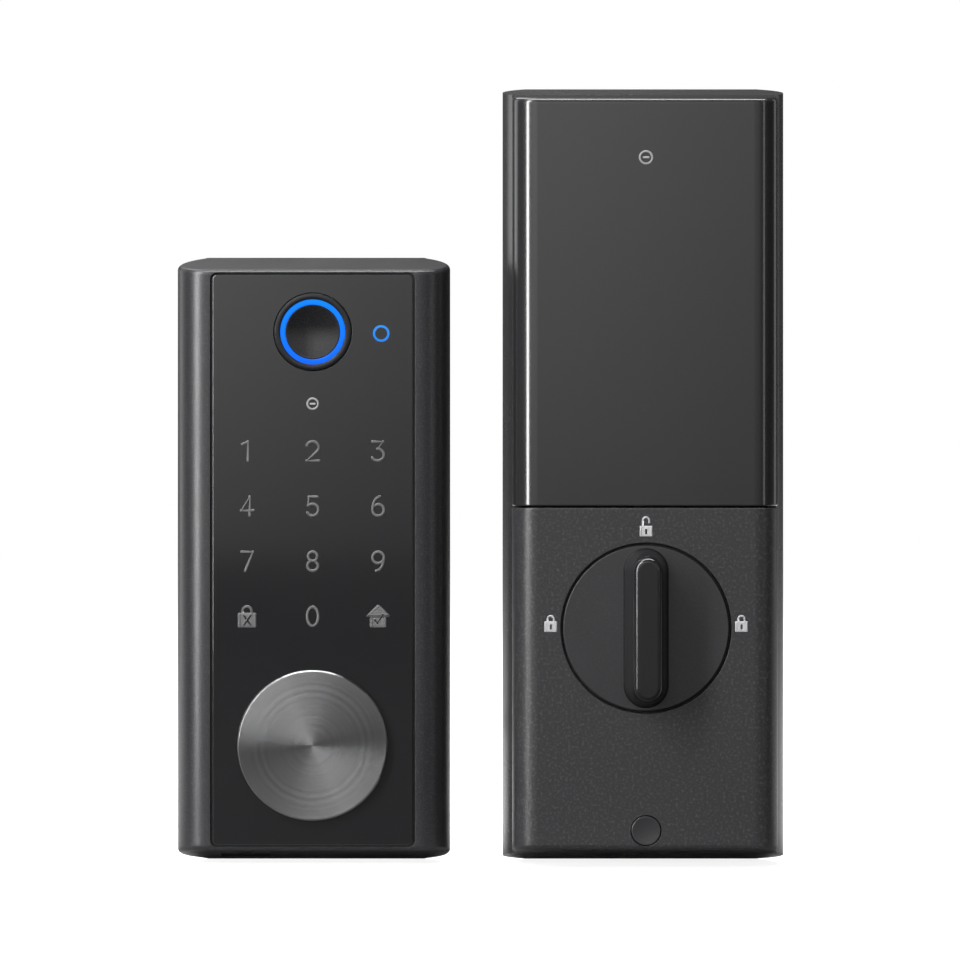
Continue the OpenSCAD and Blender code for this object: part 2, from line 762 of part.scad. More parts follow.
module cable_header() {
    color([0.9, 0.88, 0.8]) difference() {
        block([-16, -8], [wall_back + 1.2, wall_back + 6.2], [window_z0 + 4, window_z0 + 8]);
        block([-15.3, -8.7], [wall_back + 2.2, wall_back + 7], [window_z0 + 4.6, window_z0 + 7.4]);
    }
}

module buzzer() {
    color([0.08, 0.08, 0.08]) difference() {
        rod(10, sensor_z - 20, 6, wall_back + 1.2, wall_back + 4.7);
        rod(10, sensor_z - 20, 1, wall_back + 3, wall_back + 5);
    }
}

module usb_socket() {
    top = cavity_z0 + 6;
    mouth = ext_bottom + ext_lean_rate * port_y + 2.6;
    color("silver") difference() {
        block([port_x - 4.47, port_x + 4.47], [-port_y - 1.58, -port_y + 1.58], [mouth, top]);
        block([port_x - 4.15, port_x + 4.15], [-port_y - 1.25, -port_y + 1.25],
            [mouth - 1, top - 1]);
    }
    color([0.1, 0.1, 0.1])
        block([port_x - 3.3, port_x + 3.3], [-port_y - 0.35, -port_y + 0.35],
            [mouth + 0.8, top - 1]);
    color([0.1, 0.3, 0.2])
        block([port_x - 4.5, port_x + 4.5], [-port_y + 1.58, -port_y + 2.7], [cavity_z0, top + 3]);
}

module usb_flap() {
    color([0.1, 0.1, 0.1]) at_port() difference() {
        union() {
            block([-port_flap_w / 2, port_flap_w / 2], [-4, 3.1], [0.05, 1.3]);
            translate([0, 3.1, 0.95]) rotate([0, 90, 0])
                cylinder(r = 0.9, h = port_flap_w, center = true);
            translate([0, 3.1, 0.95]) rotate([0, 90, 0])
                cylinder(r = 0.5, h = port_flap_w + 2.6, center = true);
        }
        block([-1.6, 1.6], [-4.2, -3.4], [-1, 0.6]);
    }
}

// ---- Interior unit ----

module int_ends(inset = 0) {
    leaning_ends(ext_bottom + inset, int_top - inset, int_lean_rate, int_d, int_w);
}

module int_frame() {
    color([0.2, 0.2, 0.21]) at_interior() difference() {
        union() {
            difference() {
                intersection() {
                    translate([0, 0, ext_bottom - 1]) linear_extrude(int_h + 2) {
                        arc_band(int_w / 2, shoulder_r, -shoulder_y, -frame_d, -shoulder_y);
                        arc_band(int_w / 2, int_flank_r, -shoulder_y, -shoulder_y, rim_back);
                    }
                    int_ends();
                }
                slab(-frame_d - 1, step_y) rounded(inner_half, frame_z0, frame_z1, frame_r);
                slab(step_y - 1, back_wall_y) rounded(rear_half, frame_z0, frame_z1, frame_r);
                slab(-plate_t, 1)
                    rounded(plate_half + slack, plate_z0 - slack, plate_z1 + slack, 3);
            }
            for (s = [-1, 1]) {
                for (z = [boss_low, boss_high]) rod(s * boss_x, z, 3.2, -18, back_wall_y + 0.5);
                for (z = board_screw_z()) rod(s * (board_half - 3), z, 2.2, board_y[1], back_wall_y + 0.5);
            }
            for (p = case_screws)
                rod(p.x, thumb_z + p.y, 2.8, base_back, back_wall_y + 0.5);
            rod(0, button_z, 3, -19.2, back_wall_y + 0.5);
        }
        rod(0, thumb_z, 12, back_wall_y - 1, 1);
        for (s = [-1, 1]) {
            rod(s * post_x, thumb_z, 6, back_wall_y - 1, 1);
            for (z = [boss_low, boss_high]) {
                rod(s * boss_x, z, 1.6, -19, 1);
                rod(s * boss_x, z, 2.9, back_wall_y - 0.2, 1);
            }
            for (z = frame_screw_z) rod(s * frame_screw_x, z, 2.1, back_wall_y - 1, 1);
            for (z = board_screw_z()) rod(s * (board_half - 3), z, 1, board_y[1] - 1, -5);
            mirror([s < 0 ? 1 : 0, 0, 0])
                block([hook_x - slack, groove_x + slack], [-frame_d - 1, hook_y[1] + slack],
                    [frame_z1 - frame_r - 0.3, int_top]);
            mirror([s < 0 ? 1 : 0, 0, 0])
                block([inner_half - 1, groove_x + slack], [-20.2, hook_y[1] + slack],
                    [seam_z + 2, int_top]);
        }
        for (p = case_screws) rod(p.x, thumb_z + p.y, 1, base_back - 1, -6);
    }
}

function board_screw_z() = [board_z[0] + 5, board_z[1] - 5];

module mounting_plate() {
    color([0.62, 0.62, 0.64]) at_interior() difference() {
        slab(-plate_t, 0) rounded(plate_half, plate_z0, plate_z1, 2.7);
        rod(0, thumb_z, 12, -plate_t - 1, 1);
        for (s = [-1, 1]) {
            slab(-plate_t - 1, 1) translate([s * post_x, thumb_z]) {
                square([3.5, 5.5], center = true);
                for (t = [-1, 1]) translate([t * 1.75, 0]) circle(2.75);
            }
            for (z = frame_screw_z) rod(s * frame_screw_x, z, 1.7, -plate_t - 1, 1);
            for (z = [boss_low, boss_high]) rod(s * boss_x, z, 3.2, -plate_t - 1, 1);
        }
        for (z = plate_hole_z) rod(0, z, 2.25, -plate_t - 1, 1);
    }
}

module frame_screws() {
    color("silver") at_interior() for (s = [-1, 1], z = frame_screw_z) mirror([0, 1, 0])
        pan_screw(s * frame_screw_x, z, 1.7, 3.4, 2, 0.3, -back_wall_y + 2);
}

// The covers' outer shape, or their inner face when inset by the wall
module cover_shape(inset = 0) {
    half = skirt_half - inset;
    r = int_corner_r - inset;
    intersection() {
        translate([0, 0, ext_bottom - 1]) linear_extrude(int_h + 2) {
            arc_band(half, r, -int_d + int_corner_r, -int_d + inset, -int_d + int_corner_r);
            translate([-half, -int_d + int_corner_r])
                square([2 * half, int_d - int_corner_r - frame_d + (inset > 0 ? 1 : 0)]);
        }
        int_ends(inset);
    }
}

module lower_cover() {
    color([0.16, 0.16, 0.17]) at_interior() difference() {
        union() {
            intersection() {
                difference() {
                    cover_shape();
                    cover_shape(cover_wall);
                }
                translate([-int_w, -int_d - 1, ext_bottom - 1])
                    cube([2 * int_w, int_d, seam_z - seam_gap / 2 - ext_bottom + 1]);
            }
            rod(0, thumb_z, thumb_d / 2 + thumb_gap + 1.6, -int_d + 1, well_back);
            for (s = [-1, 1], z = [boss_low, boss_high])
                rod(s * boss_x, z, 3, -int_d + 1, -18);
        }
        rod(0, thumb_z, thumb_d / 2 + thumb_gap, -int_d - 1, well_front);
        rod(0, thumb_z, 10 + fit, -int_d, 0);
        rod(0, button_z, button_d / 2 + button_gap, -int_d - 1, -28.5);
        block([-5.2, 5.2], [-int_d + cover_wall, -28.5], [button_z - 1.8, button_z + 1.8]);
        for (s = [-1, 1], z = [boss_low, boss_high]) rod(s * boss_x, z, 1.25, -27, -17);
    }
}

module cover_screws() {
    color("silver") at_interior() for (s = [-1, 1], z = [boss_low, boss_high])
        pan_screw(s * boss_x, z, 1.25, 2.6, 1.8, -26, back_wall_y + 1.6);
}

module battery_cover() {
    color([0.13, 0.13, 0.14]) at_interior() {
        intersection() {
            difference() {
                cover_shape();
                cover_shape(cover_wall);
            }
            translate([-int_w, -int_d - 1, seam_z + seam_gap / 2])
                cube([2 * int_w, int_d, int_h]);
        }
        for (s = [0, 1], z = hook_z) mirror([s, 0, 0]) {
            block([hook_x, inner_half + 0.8], [hook_y[0], hook_y[0] + 3], [z, z + hook_l]);
            block([hook_x, hook_x + 0.7], [hook_y[0], hook_y[1]], [z, z + hook_l]);
            block([hook_x, groove_x - 0.2], [hook_y[1] - 1.2, hook_y[1]], [z, z + hook_l]);
        }
    }
}

module battery_tray() {
    back = -cell_y + cell_d / 2 + 1.7;
    color([0.12, 0.12, 0.12]) at_interior() difference() {
        union() {
            block([-tray_half, tray_half], [back - 5.4, back], [tray_z0, tray_z1]);
            block([-tray_half, tray_half], [tray_front, back], [tray_z0, bay_z0]);
            block([-tray_half, tray_half], [tray_front, back], [tray_z1 - 1.5, tray_z1]);
            block([-tray_half, tray_half], [-18, -16.5], [seam_z + 0.6, tray_z0 + 1]);
            for (s = [-1, 1], z = [seam_z + 4, tray_z1 - 4])
                rod(s * (tray_half - 1.8), z, 1.8, -17, back_wall_y);
        }
        at_cells() cylinder(r = cell_d / 2 + 0.05, h = bay_h);
        rod(reset_pos.x, reset_pos.y, reset_d / 2 + 0.15, -19, -16);
    }
}

// Each cell's place in the bay, and whether it stands the other way up
module at_cells() {
    for (i = [0 : 3]) translate([(i - 1.5) * cell_pitch, -cell_y, bay_z0]) {
        $flip = i % 2 == 1;
        children();
    }
}

// What stands on a cell's lower end when $flip is false, and on its upper end when it is true
module cell_turn() {
    translate([0, 0, $flip ? bay_h : 0]) mirror([0, 0, $flip ? 1 : 0]) children();
}

module aa_batteries() {
    color([0.75, 0.75, 0.72]) at_interior() at_cells() cell_turn() {
        translate([0, 0, 4.4]) cylinder(r = cell_d / 2, h = cell_h - 1.3);
        translate([0, 0, 4.4]) cylinder(r = 2.75, h = cell_h);
    }
}

module battery_contacts() {
    color("silver") at_interior() at_cells() cell_turn() {
        translate([-5, -5, 0]) cube([10, 9, 0.4]);
        translate([-5, -5, bay_h - 0.4]) cube([10, 9, 0.4]);
        translate([0, 0, 0.45]) coil(4.6, 2.6, 3.9, 3.5, 0.7, 12);
    }
}

module main_board() {
    color([0.1, 0.3, 0.2]) at_interior() difference() {
        slab(board_y[0], board_y[1]) rounded(board_half, board_z[0], board_z[1], 1.5);
        for (s = [-1, 1], z = board_screw_z())
            rod(s * (board_half - 3), z, 1, board_y[0] - 1, board_y[1] + 1);
    }
}

module board_chips() {
    y = board_y[0];
    color([0.1, 0.1, 0.1]) at_interior() {
        block([-18, -2], [y - 2.2, y], [board_z[0] + 22, board_z[0] + 42]);
        block([4, 12], [y - 1.2, y], [board_z[0] + 26, board_z[0] + 34]);
        block([2, 6], [y - 1, y], [board_z[0] + 38, board_z[0] + 42]);
        block([14, 20], [y - 2.4, y], [board_z[0] + 46, board_z[0] + 50]);
        block([-14, -4], [y - 2.4, y], [board_z[0] + 2, board_z[0] + 6]);
        block([-20, -14], [y - 2.4, y], [board_z[0] + 10, board_z[0] + 14]);
        block([reset_pos.x - 3, reset_pos.x + 3], [y - 1.6, y],
            [reset_pos.y - 3, reset_pos.y + 3]);
    }
}

module drive_motor() {
    color("silver") at_thumb() difference() {
        union() {
            rod(motor_pos.x, motor_pos.y, motor_r, base_back, back_wall_y - 0.6);
            rod(motor_pos.x, motor_pos.y, 3.1, base_front, base_back);
        }
        rod(motor_pos.x, motor_pos.y, axle_d / 2 + fit, base_front - 1, -8);
    }
}

module motor_pinion() {
    color([0.8, 0.68, 0.4]) at_thumb() {
        spur(motor_pos, fast_pinion_teeth, fast_m, tooth_shift, motor_phase,
            [fast_plane[0] - 0.2, fast_plane[1] + 0.2]);
        rod(motor_pos.x, motor_pos.y, axle_d / 2, fast_plane[0] - 0.6, -8.4);
    }
}

module gear_axles() {
    color("silver") at_thumb() for (p = [slow_pos, fast_pos])
        rod(p.x, p.y, axle_d / 2, lid_front, base_back);
}

module compound_gear_1() {
    color([0.92, 0.92, 0.88]) at_thumb() difference() {
        union() {
            spur(fast_pos, fast_pinion_teeth, slow_m, tooth_shift, fast_phase,
                [slow_plane[0] - 0.2, fast_plane[0]]);
            spur(fast_pos, wheel_teeth, fast_m, -tooth_shift, 0, fast_plane);
            rod(fast_pos.x, fast_pos.y, 2.2, lid_back + slack, slow_plane[0] - 0.2);
            rod(fast_pos.x, fast_pos.y, 2.2, fast_plane[1], base_front - slack);
        }
        rod(fast_pos.x, fast_pos.y, axle_d / 2 + fit, -30, 0);
    }
}

module compound_gear_2() {
    color([0.92, 0.92, 0.88]) at_thumb() difference() {
        union() {
            spur(slow_pos, slow_pinion_teeth, drive_m, tooth_shift, slow_phase,
                [drive_plane[0] + 0.1, slow_plane[0]]);
            spur(slow_pos, wheel_teeth, slow_m, -tooth_shift, 0, slow_plane);
            rod(slow_pos.x, slow_pos.y, 2.4, slow_plane[1], base_front - slack);
        }
        rod(slow_pos.x, slow_pos.y, axle_d / 2 + fit, -30, 0);
    }
}

module drive_gear() {
    color([0.92, 0.92, 0.88]) at_thumb() difference() {
        spur([0, 0], drive_teeth, drive_m, -tooth_shift, drive_phase, drive_plane);
        rod(0, 0, shaft_d / 2, -30, 0);
    }
}

// The gearbox's outline, drawn in by inset
module case_outline(inset) {
    circle(20.4 - inset);
    translate([3.8, -24]) rounded(25.2 - inset, -16 + inset, 16 - inset, 4 - inset);
}

module gearbox_case() {
    color([0.15, 0.15, 0.16]) at_thumb() difference() {
        union() {
            slab(base_front, base_back) rounded(28.6, -40, 20.4, 2);
            slab(lid_back, base_front + 0.5) difference() {
                case_outline(0);
                case_outline(1.4);
            }
        }
        rod(0, 0, shaft_d / 2 + fit, -30, 0);
        rod(motor_pos.x, motor_pos.y, 3.1, -30, 0);
        for (p = [slow_pos, fast_pos]) rod(p.x, p.y, axle_d / 2, -30, 0);
        for (p = case_screws) rod(p.x, p.y, 1.2, -30, 0);
    }
}

module gearbox_lid() {
    color([0.15, 0.15, 0.16]) at_thumb() difference() {
        slab(lid_front, lid_back) case_outline(0);
        rod(0, 0, 10.4, -40, 0);
        for (p = [slow_pos, fast_pos]) rod(p.x, p.y, axle_d / 2, -40, 0);
    }
}

module inner_screws() {
    color("silver") {
        at_thumb() for (p = case_screws) mirror([0, 1, 0])
            pan_screw(p.x, p.y, 1, 1.9, 1.4, 8, -base_front + 1.4);
        at_interior() for (s = [-1, 1], z = board_screw_z()) mirror([0, 1, 0])
            pan_screw(s * (board_half - 3), z, 1, 1.9, 1.4, 5.5, -board_y[0] + 1.4);
    }
}

module thumbturn() {
    lean_x = (grip_w - ridge_w) / 2;
    lean_z = 2.4;
    color([0.15, 0.15, 0.16]) at_thumb() difference() {
        union() {
            rod(0, 0, thumb_d / 2, thumb_front + 0.4, thumb_back);
            cone(0, 0, thumb_d / 2 - 0.4, thumb_d / 2, thumb_front, thumb_front + 0.4);
            rod(0, 0, 10, thumb_back, drive_plane[0]);
            rod(0, 0, shaft_d / 2, drive_plane[0], shaft_back);
            intersection() {
                slab(grip_front, thumb_front + 0.5)
                    rounded(grip_w / 2, -grip_l / 2, grip_l / 2, grip_w / 2 - 0.05);
                linear_extrude(grip_l + 2, center = true) polygon([
                    [-grip_w / 2, thumb_front + 1], [-grip_w / 2, thumb_front - 1.5],
                    [-grip_w / 2 + lean_x, grip_front], [grip_w / 2 - lean_x, grip_front],
                    [grip_w / 2, thumb_front - 1.5], [grip_w / 2, thumb_front + 1]
                ]);
                rotate([90, 0, 90]) linear_extrude(grip_w + 2, center = true) polygon([
                    [thumb_front + 1, -grip_l / 2], [thumb_front + 1, grip_l / 2],
                    [thumb_front - 1.5, grip_l / 2], [grip_front, grip_l / 2 - lean_z],
                    [grip_front, -grip_l / 2 + lean_z], [thumb_front - 1.5, -grip_l / 2]
                ]);
            }
        }
        block([-blade_t / 2 - 0.1, blade_t / 2 + 0.1], [shaft_back - 14, shaft_back + 1],
            [-blade_w / 2 - 0.15, blade_w / 2 + 0.15]);
        ring(0, 0, shaft_d, shaft_d / 2 - 0.6, base_back + 0.1, base_back + 1);
    }
}

module thumbturn_retainer() {
    color("silver") at_thumb() difference() {
        ring(0, 0, shaft_d / 2 + 2.2, shaft_d / 2 - 0.6, base_back + 0.1, base_back + 1);
        block([-2, 2], [base_back - 1, base_back + 2], [0, shaft_d]);
    }
}

module function_button() {
    color([0.15, 0.15, 0.16]) at_interior() difference() {
        union() {
            rod(0, button_z, button_d / 2, -int_d + 0.05, -29.2);
            block([-4.8, 4.8], [-int_d + cover_wall + 0.15, -31], [button_z - 1.4, button_z + 1.4]);
            rod(0, button_z, 1.6, -29.2, -24.05);
        }
        translate([0, -int_d - 11.8, button_z]) sphere(12.1);
    }
}

module button_spring() {
    color("silver") at_interior() translate([0, -23.4, button_z]) rotate([90, 0, 0])
        coil(2.3, 2.3, 4.9, 4, 0.4);
}

module button_switch() {
    color([0.1, 0.1, 0.1]) at_interior() {
        block([-3, 3], [-23.4, -20.4], [button_z - 3, button_z + 3]);
        rod(0, button_z, 1.2, -23.5, -23.4);
        slab(-20.4, -19.2) translate([0, button_z]) rounded(7, -3.4, 8, 1);
    }
}

module reset_button() {
    color([0.8, 0.2, 0.15]) at_interior() {
        rod(reset_pos.x, reset_pos.y, reset_d / 2, -18.4, -16.3);
        rod(reset_pos.x, reset_pos.y, reset_d / 2 + 0.8, -16.3, -15.4);
        rod(reset_pos.x, reset_pos.y, 1, -15.4, board_y[0] - 2);
    }
}

ext_housing();
touch_panel();
light_guide();
keypad_board();
keypad_leds();
sensor_bezel();
sensor_light_ring();
sensor_pad();
sensor_board();
status_light_ring();
keyhole_cover();
cover_pivot_pin();
cover_wave_washer();
cover_pivot_clip();
cover_magnet();
latch_magnet();
cylinder_shell();
key_plug();
key_pins();
driver_pins();
pin_springs();
pin_chamber_cap();
tail_cam();
torque_blade();
cylinder_screws();
mounting_posts();
ext_back_plate();
back_plate_screws();
ext_gasket();
cable_grommet();
cable_header();
buzzer();
usb_socket();
usb_flap();
int_frame();
mounting_plate();
frame_screws();
lower_cover();
cover_screws();
battery_cover();
battery_tray();
aa_batteries();
battery_contacts();
main_board();
board_chips();
drive_motor();
motor_pinion();
gear_axles();
compound_gear_1();
compound_gear_2();
drive_gear();
gearbox_case();
gearbox_lid();
inner_screws();
thumbturn();
thumbturn_retainer();
function_button();
button_spring();
button_switch();
reset_button();
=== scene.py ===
"""Keypad smart lock: an exterior keypad unit and an interior thumb-turn unit, finished for display."""
import json
from math import atan, cos, pi, radians, sin

import bpy
import bmesh
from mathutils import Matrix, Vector


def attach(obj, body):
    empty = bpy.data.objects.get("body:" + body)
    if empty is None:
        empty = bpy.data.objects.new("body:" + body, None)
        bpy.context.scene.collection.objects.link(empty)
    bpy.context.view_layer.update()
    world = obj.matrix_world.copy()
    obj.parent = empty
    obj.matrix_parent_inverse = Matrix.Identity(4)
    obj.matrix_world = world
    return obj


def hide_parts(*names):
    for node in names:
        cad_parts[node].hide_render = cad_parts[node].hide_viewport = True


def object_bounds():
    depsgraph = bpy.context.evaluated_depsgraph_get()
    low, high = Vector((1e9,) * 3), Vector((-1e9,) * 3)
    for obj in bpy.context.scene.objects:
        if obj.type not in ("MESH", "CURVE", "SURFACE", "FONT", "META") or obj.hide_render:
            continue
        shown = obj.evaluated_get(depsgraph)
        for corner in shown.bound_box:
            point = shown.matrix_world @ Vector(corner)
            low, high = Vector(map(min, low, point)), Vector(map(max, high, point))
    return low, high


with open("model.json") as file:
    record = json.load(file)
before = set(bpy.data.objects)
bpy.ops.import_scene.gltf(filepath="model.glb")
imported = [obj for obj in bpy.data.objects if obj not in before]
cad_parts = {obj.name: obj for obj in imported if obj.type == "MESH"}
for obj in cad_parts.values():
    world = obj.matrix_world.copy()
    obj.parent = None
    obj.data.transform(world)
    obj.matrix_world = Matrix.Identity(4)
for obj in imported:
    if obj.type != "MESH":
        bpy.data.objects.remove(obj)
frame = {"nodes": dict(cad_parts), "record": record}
cad_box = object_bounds()
mm = 0.001


# ---- Camera and room -------------------------------------------------------------------------
# A long lens stands square in front of the two units, and the floor is white card. Tall strips and
# an overhead box light them, and two soft cards behind the camera, one for each unit, shade their
# gloss faces from the upper left.

camera_data = bpy.data.cameras.new("camera")
camera_data.lens = 152.4
camera_data.sensor_width = 36
camera = bpy.data.objects.new("camera", camera_data)
camera.location = (40.84 * mm, -1014 * mm, 64.7 * mm)
camera.rotation_euler = (radians(90), 0, 0)
bpy.context.scene.collection.objects.link(camera)
bpy.context.scene.camera = camera
bpy.context.scene.view_settings.view_transform = "Standard"


def link(tree, start, end):
    """Joins two sockets of a node tree."""
    tree.links.new(start, end)


def add(tree, kind, **settings):
    """A node of that kind, with its settings and its unlinked inputs. An input is named by its
    number or name in a dict called inputs."""
    made = tree.nodes.new(kind)
    values = settings.pop("inputs", {})
    for key, value in settings.items():
        setattr(made, key, value)
    for key, value in values.items():
        if isinstance(value, bpy.types.NodeSocket):
            link(tree, value, made.inputs[key])
        else:
            made.inputs[key].default_value = value
    return made


world = bpy.data.worlds.new("room")
bpy.context.scene.world = world
world.use_nodes = True
tree = world.node_tree
tree.nodes.clear()
way = add(tree, "ShaderNodeTexCoord").outputs["Generated"]
card_edge, card_width = -0.003, 0.066
across = add(tree, "ShaderNodeSeparateXYZ", inputs={0: way}).outputs
second = add(tree, "ShaderNodeMath", operation="GREATER_THAN",
             inputs={0: across["X"], 1: card_edge})
along_card = add(tree, "ShaderNodeMath", operation="MULTIPLY_ADD",
                 inputs={0: second.outputs[0], 1: -card_width, 2: across["X"]}).outputs[0]
side_fall = add(tree, "ShaderNodeMapRange",
                inputs={0: along_card, 1: -card_width, 2: 0.008, 3: 1.0, 4: 0.35})
rise = add(tree, "ShaderNodeMapRange", interpolation_type="SMOOTHSTEP",
           inputs={0: across["Z"], 1: -0.12, 2: 0.22, 3: 0.05, 4: 2.6}).outputs[0]
card = add(tree, "ShaderNodeMath", operation="MULTIPLY",
           inputs={0: rise, 1: side_fall.outputs[0]}).outputs[0]
facing = add(tree, "ShaderNodeVectorMath", operation="DOT_PRODUCT",
             inputs={0: way, 1: (0, -1, 0)}).outputs["Value"]
near = add(tree, "ShaderNodeMapRange", interpolation_type="SMOOTHSTEP",
           inputs={0: facing, 1: 0.7, 2: 0.97, 3: 0.02, 4: 1.0}).outputs[0]
glow = add(tree, "ShaderNodeMath", operation="MULTIPLY", inputs={0: card, 1: near}).outputs[0]
lit = add(tree, "ShaderNodeMath", operation="ADD", inputs={0: glow, 1: 0.05}).outputs[0]
seen = add(tree, "ShaderNodeLightPath").outputs["Is Camera Ray"]
level = add(tree, "ShaderNodeMix", data_type="FLOAT", inputs={0: seen, 2: lit, 3: 1.0}).outputs[0]
light = add(tree, "ShaderNodeBackground", inputs={"Color": (1, 1, 1, 1), "Strength": level})
link(tree, light.outputs[0], add(tree, "ShaderNodeOutputWorld").inputs["Surface"])


def strip(name, angle, distance, height, width, tall, watts):
    """A tall softbox at that angle round from the camera's side, aimed at the units."""
    lamp = bpy.data.lights.new(name, "AREA")
    lamp.shape = "RECTANGLE"
    lamp.size, lamp.size_y = width, tall
    lamp.energy = watts
    at = bpy.data.objects.new(name, lamp)
    at.location = (0.04 + distance * sin(radians(angle)), -distance * cos(radians(angle)), height)
    aim = Vector((0.04, 0, 0.06)) - at.location
    at.rotation_euler = aim.to_track_quat("-Z", "Y").to_euler()
    bpy.context.scene.collection.objects.link(at)


strip("left_strip", -46, 1.25, 0.2, 0.24, 1.5, 30)
strip("right_strip", 52, 1.25, 0.2, 0.12, 1.5, 1.6)
strip("key_card", -42, 1.0, 1.0, 0.3, 0.3, 10)
strip("overhead", 10, 0.12, 1.25, 1.4, 0.25, 18)
strip("left_side", -118, 1.1, 0.2, 0.5, 1.4, 3.5)
strip("right_side", 118, 1.1, 0.2, 0.3, 1.4, 1)
strip("top_card", -160, 1.0, 1.4, 0.9, 0.9, 7)

floor_mesh = bpy.data.meshes.new("floor")
floor_z = cad_box[0][2] - 0.02 * mm
floor_mesh.from_pydata([(-4, -4, floor_z), (4, -4, floor_z), (4, 4, floor_z), (-4, 4, floor_z)],
                       [], [(0, 1, 2, 3)])
floor = bpy.data.objects.new("floor", floor_mesh)
bpy.context.scene.collection.objects.link(floor)
card_stock = bpy.data.materials.new("floor_card")
card_stock.use_nodes = True
tree = card_stock.node_tree
shader = tree.nodes["Principled BSDF"]
shader.inputs["Roughness"].default_value = 0.8
sight = add(tree, "ShaderNodeLightPath").outputs["Is Camera Ray"]
depth = add(tree, "ShaderNodeSeparateXYZ", inputs={
    0: add(tree, "ShaderNodeTexCoord").outputs["Object"]}).outputs["Y"]
behind = add(tree, "ShaderNodeMapRange", inputs={0: depth, 1: -0.06, 2: 0.04, 3: 0.02, 4: 0.8})
tone = add(tree, "ShaderNodeMix", data_type="RGBA",
           inputs={0: sight, 6: behind.outputs[0], 7: (0.86, 0.86, 0.86, 1)})
link(tree, tone.outputs[2], shader.inputs["Base Color"])
fibre = add(tree, "ShaderNodeTexNoise", inputs={
    "Vector": add(tree, "ShaderNodeTexCoord").outputs["Object"], "Scale": 900.0})
bump = add(tree, "ShaderNodeBump", inputs={"Strength": 0.05, "Distance": 0.0001,
                                           "Height": fibre.outputs["Fac"]})
link(tree, bump.outputs[0], shader.inputs["Normal"])
shader.inputs["Emission Color"].default_value = (1, 1, 1, 1)
link(tree, add(tree, "ShaderNodeMath", operation="MULTIPLY", inputs={0: sight, 1: 0.85}).outputs[0],
     shader.inputs["Emission Strength"])
# From below, the floor isn't there, so the units' undersides can be seen
under = add(tree, "ShaderNodeNewGeometry").outputs["Backfacing"]
open_under = add(tree, "ShaderNodeMixShader", inputs={
    0: under, 1: shader.outputs[0], 2: add(tree, "ShaderNodeBsdfTransparent").outputs[0]})
link(tree, open_under.outputs[0], tree.nodes["Material Output"].inputs["Surface"])
floor_mesh.materials.append(card_stock)


# ---- Exterior housing ------------------------------------------------------------------------
# A die-cast zinc shell, open at the back, with rounded corners, flanks that turn in towards the
# door and ends that lean in. It is painted in a dark speckled satin grey and screws to the plate.

def arc(cx, cy, r, start, end, steps):
    """Points of an arc in degrees, each with its outward normal: (u, v, nu, nv)."""
    points = []
    for i in range(steps + 1):
        a = radians(start + (end - start) * i / steps)
        points.append((cx + r * cos(a), cy + r * sin(a), cos(a), sin(a)))
    return points


def mirrored(points):
    """The outline with its left half added, from the right half given back to front."""
    return points + [(-u, v, -nu, nv) for u, v, nu, nv in reversed(points)]


def rounded(half, z0, z1, r, cx=0.0):
    """A rounded rectangle's outline with normals."""
    points = []
    for sx, sz, a in ((1, 1, 0), (-1, 1, 90), (-1, -1, 180), (1, -1, 270)):
        z = z1 - r if sz > 0 else z0 + r
        points += arc(cx + sx * (half - r), z, r, a, a + 90, 8)
    return points


def skin(name, rings, loop=False):
    """A closed mesh through rings of equal length. The end rings are filled, or joined to each
    other if loop is true."""
    shape = bmesh.new()
    rows = [[shape.verts.new(p) for p in ring] for ring in rings]
    count = len(rows[0])
    pairs = list(zip(rows, rows[1:])) + ([(rows[-1], rows[0])] if loop else [])
    for a, b in pairs:
        for i in range(count):
            j = (i + 1) % count
            shape.faces.new((a[i], a[j], b[j], b[i]))
    if not loop:
        shape.faces.new(rows[0])
        shape.faces.new(rows[-1])
    bmesh.ops.remove_doubles(shape, verts=shape.verts, dist=1e-7)
    bmesh.ops.recalc_face_normals(shape, faces=shape.faces)
    mesh = bpy.data.meshes.new(name)
    shape.to_mesh(mesh)
    shape.free()
    return mesh


def prism(name, outline, levels):
    """A solid along Y. levels are (y, growth) from front to back, all in millimetres."""
    return skin(name, [[((u + nu * grow) * mm, y * mm, (v + nv * grow) * mm)
                        for u, v, nu, nv in outline] for y, grow in levels])


def turned(name, x, z, profile, loop=False, steps=128):
    """A turned solid about an axis along Y. profile is (radius, y) in millimetres."""
    return skin(name, [[((x + r * u) * mm, y * mm, (z + r * v) * mm)
                        for u, v, _, _ in arc(0, 0, 1, 0, 360 - 360 / steps, steps - 1)]
                       for r, y in profile], loop)


def shell(name, plan, low, high, back, fillets):
    """A solid whose sides stand on a plan of (x, y) points and whose ends lean. low and high give
    an end's z at a y, fillets the two end radii, and back the open rim's y."""
    rings = []
    steps = 7
    for end, fillet, sign in ((low, fillets[0], 1), (high, fillets[1], -1)):
        turns = range(steps + 1) if sign > 0 else range(steps, -1, -1)
        for i in turns:
            a = radians(90 * i / steps)
            inset, rise = fillet * (1 - sin(a)), fillet * (1 - cos(a))
            ring = []
            for x, y, nx, ny in plan:
                py = y if y >= back - 1e-6 else min(y - ny * inset, back)
                ring.append(((x - nx * inset) * mm, py * mm, (end(py) + sign * rise) * mm))
            rings.append(ring)
            if fillet == 0:
                break
    return skin(name, rings)


def combined(mesh, other, operation):
    """mesh with other cut from it or joined to it, as one new mesh."""
    first = bpy.data.objects.new("first", mesh)
    second = bpy.data.objects.new("second", other)
    for one in (first, second):
        bpy.context.scene.collection.objects.link(one)
    modifier = first.modifiers.new("join", "BOOLEAN")
    modifier.operation = operation
    modifier.object = second
    modifier.solver = "EXACT"
    result = bpy.data.meshes.new_from_object(
        first.evaluated_get(bpy.context.evaluated_depsgraph_get()))
    for one in (first, second):
        bpy.data.objects.remove(one)
    return result


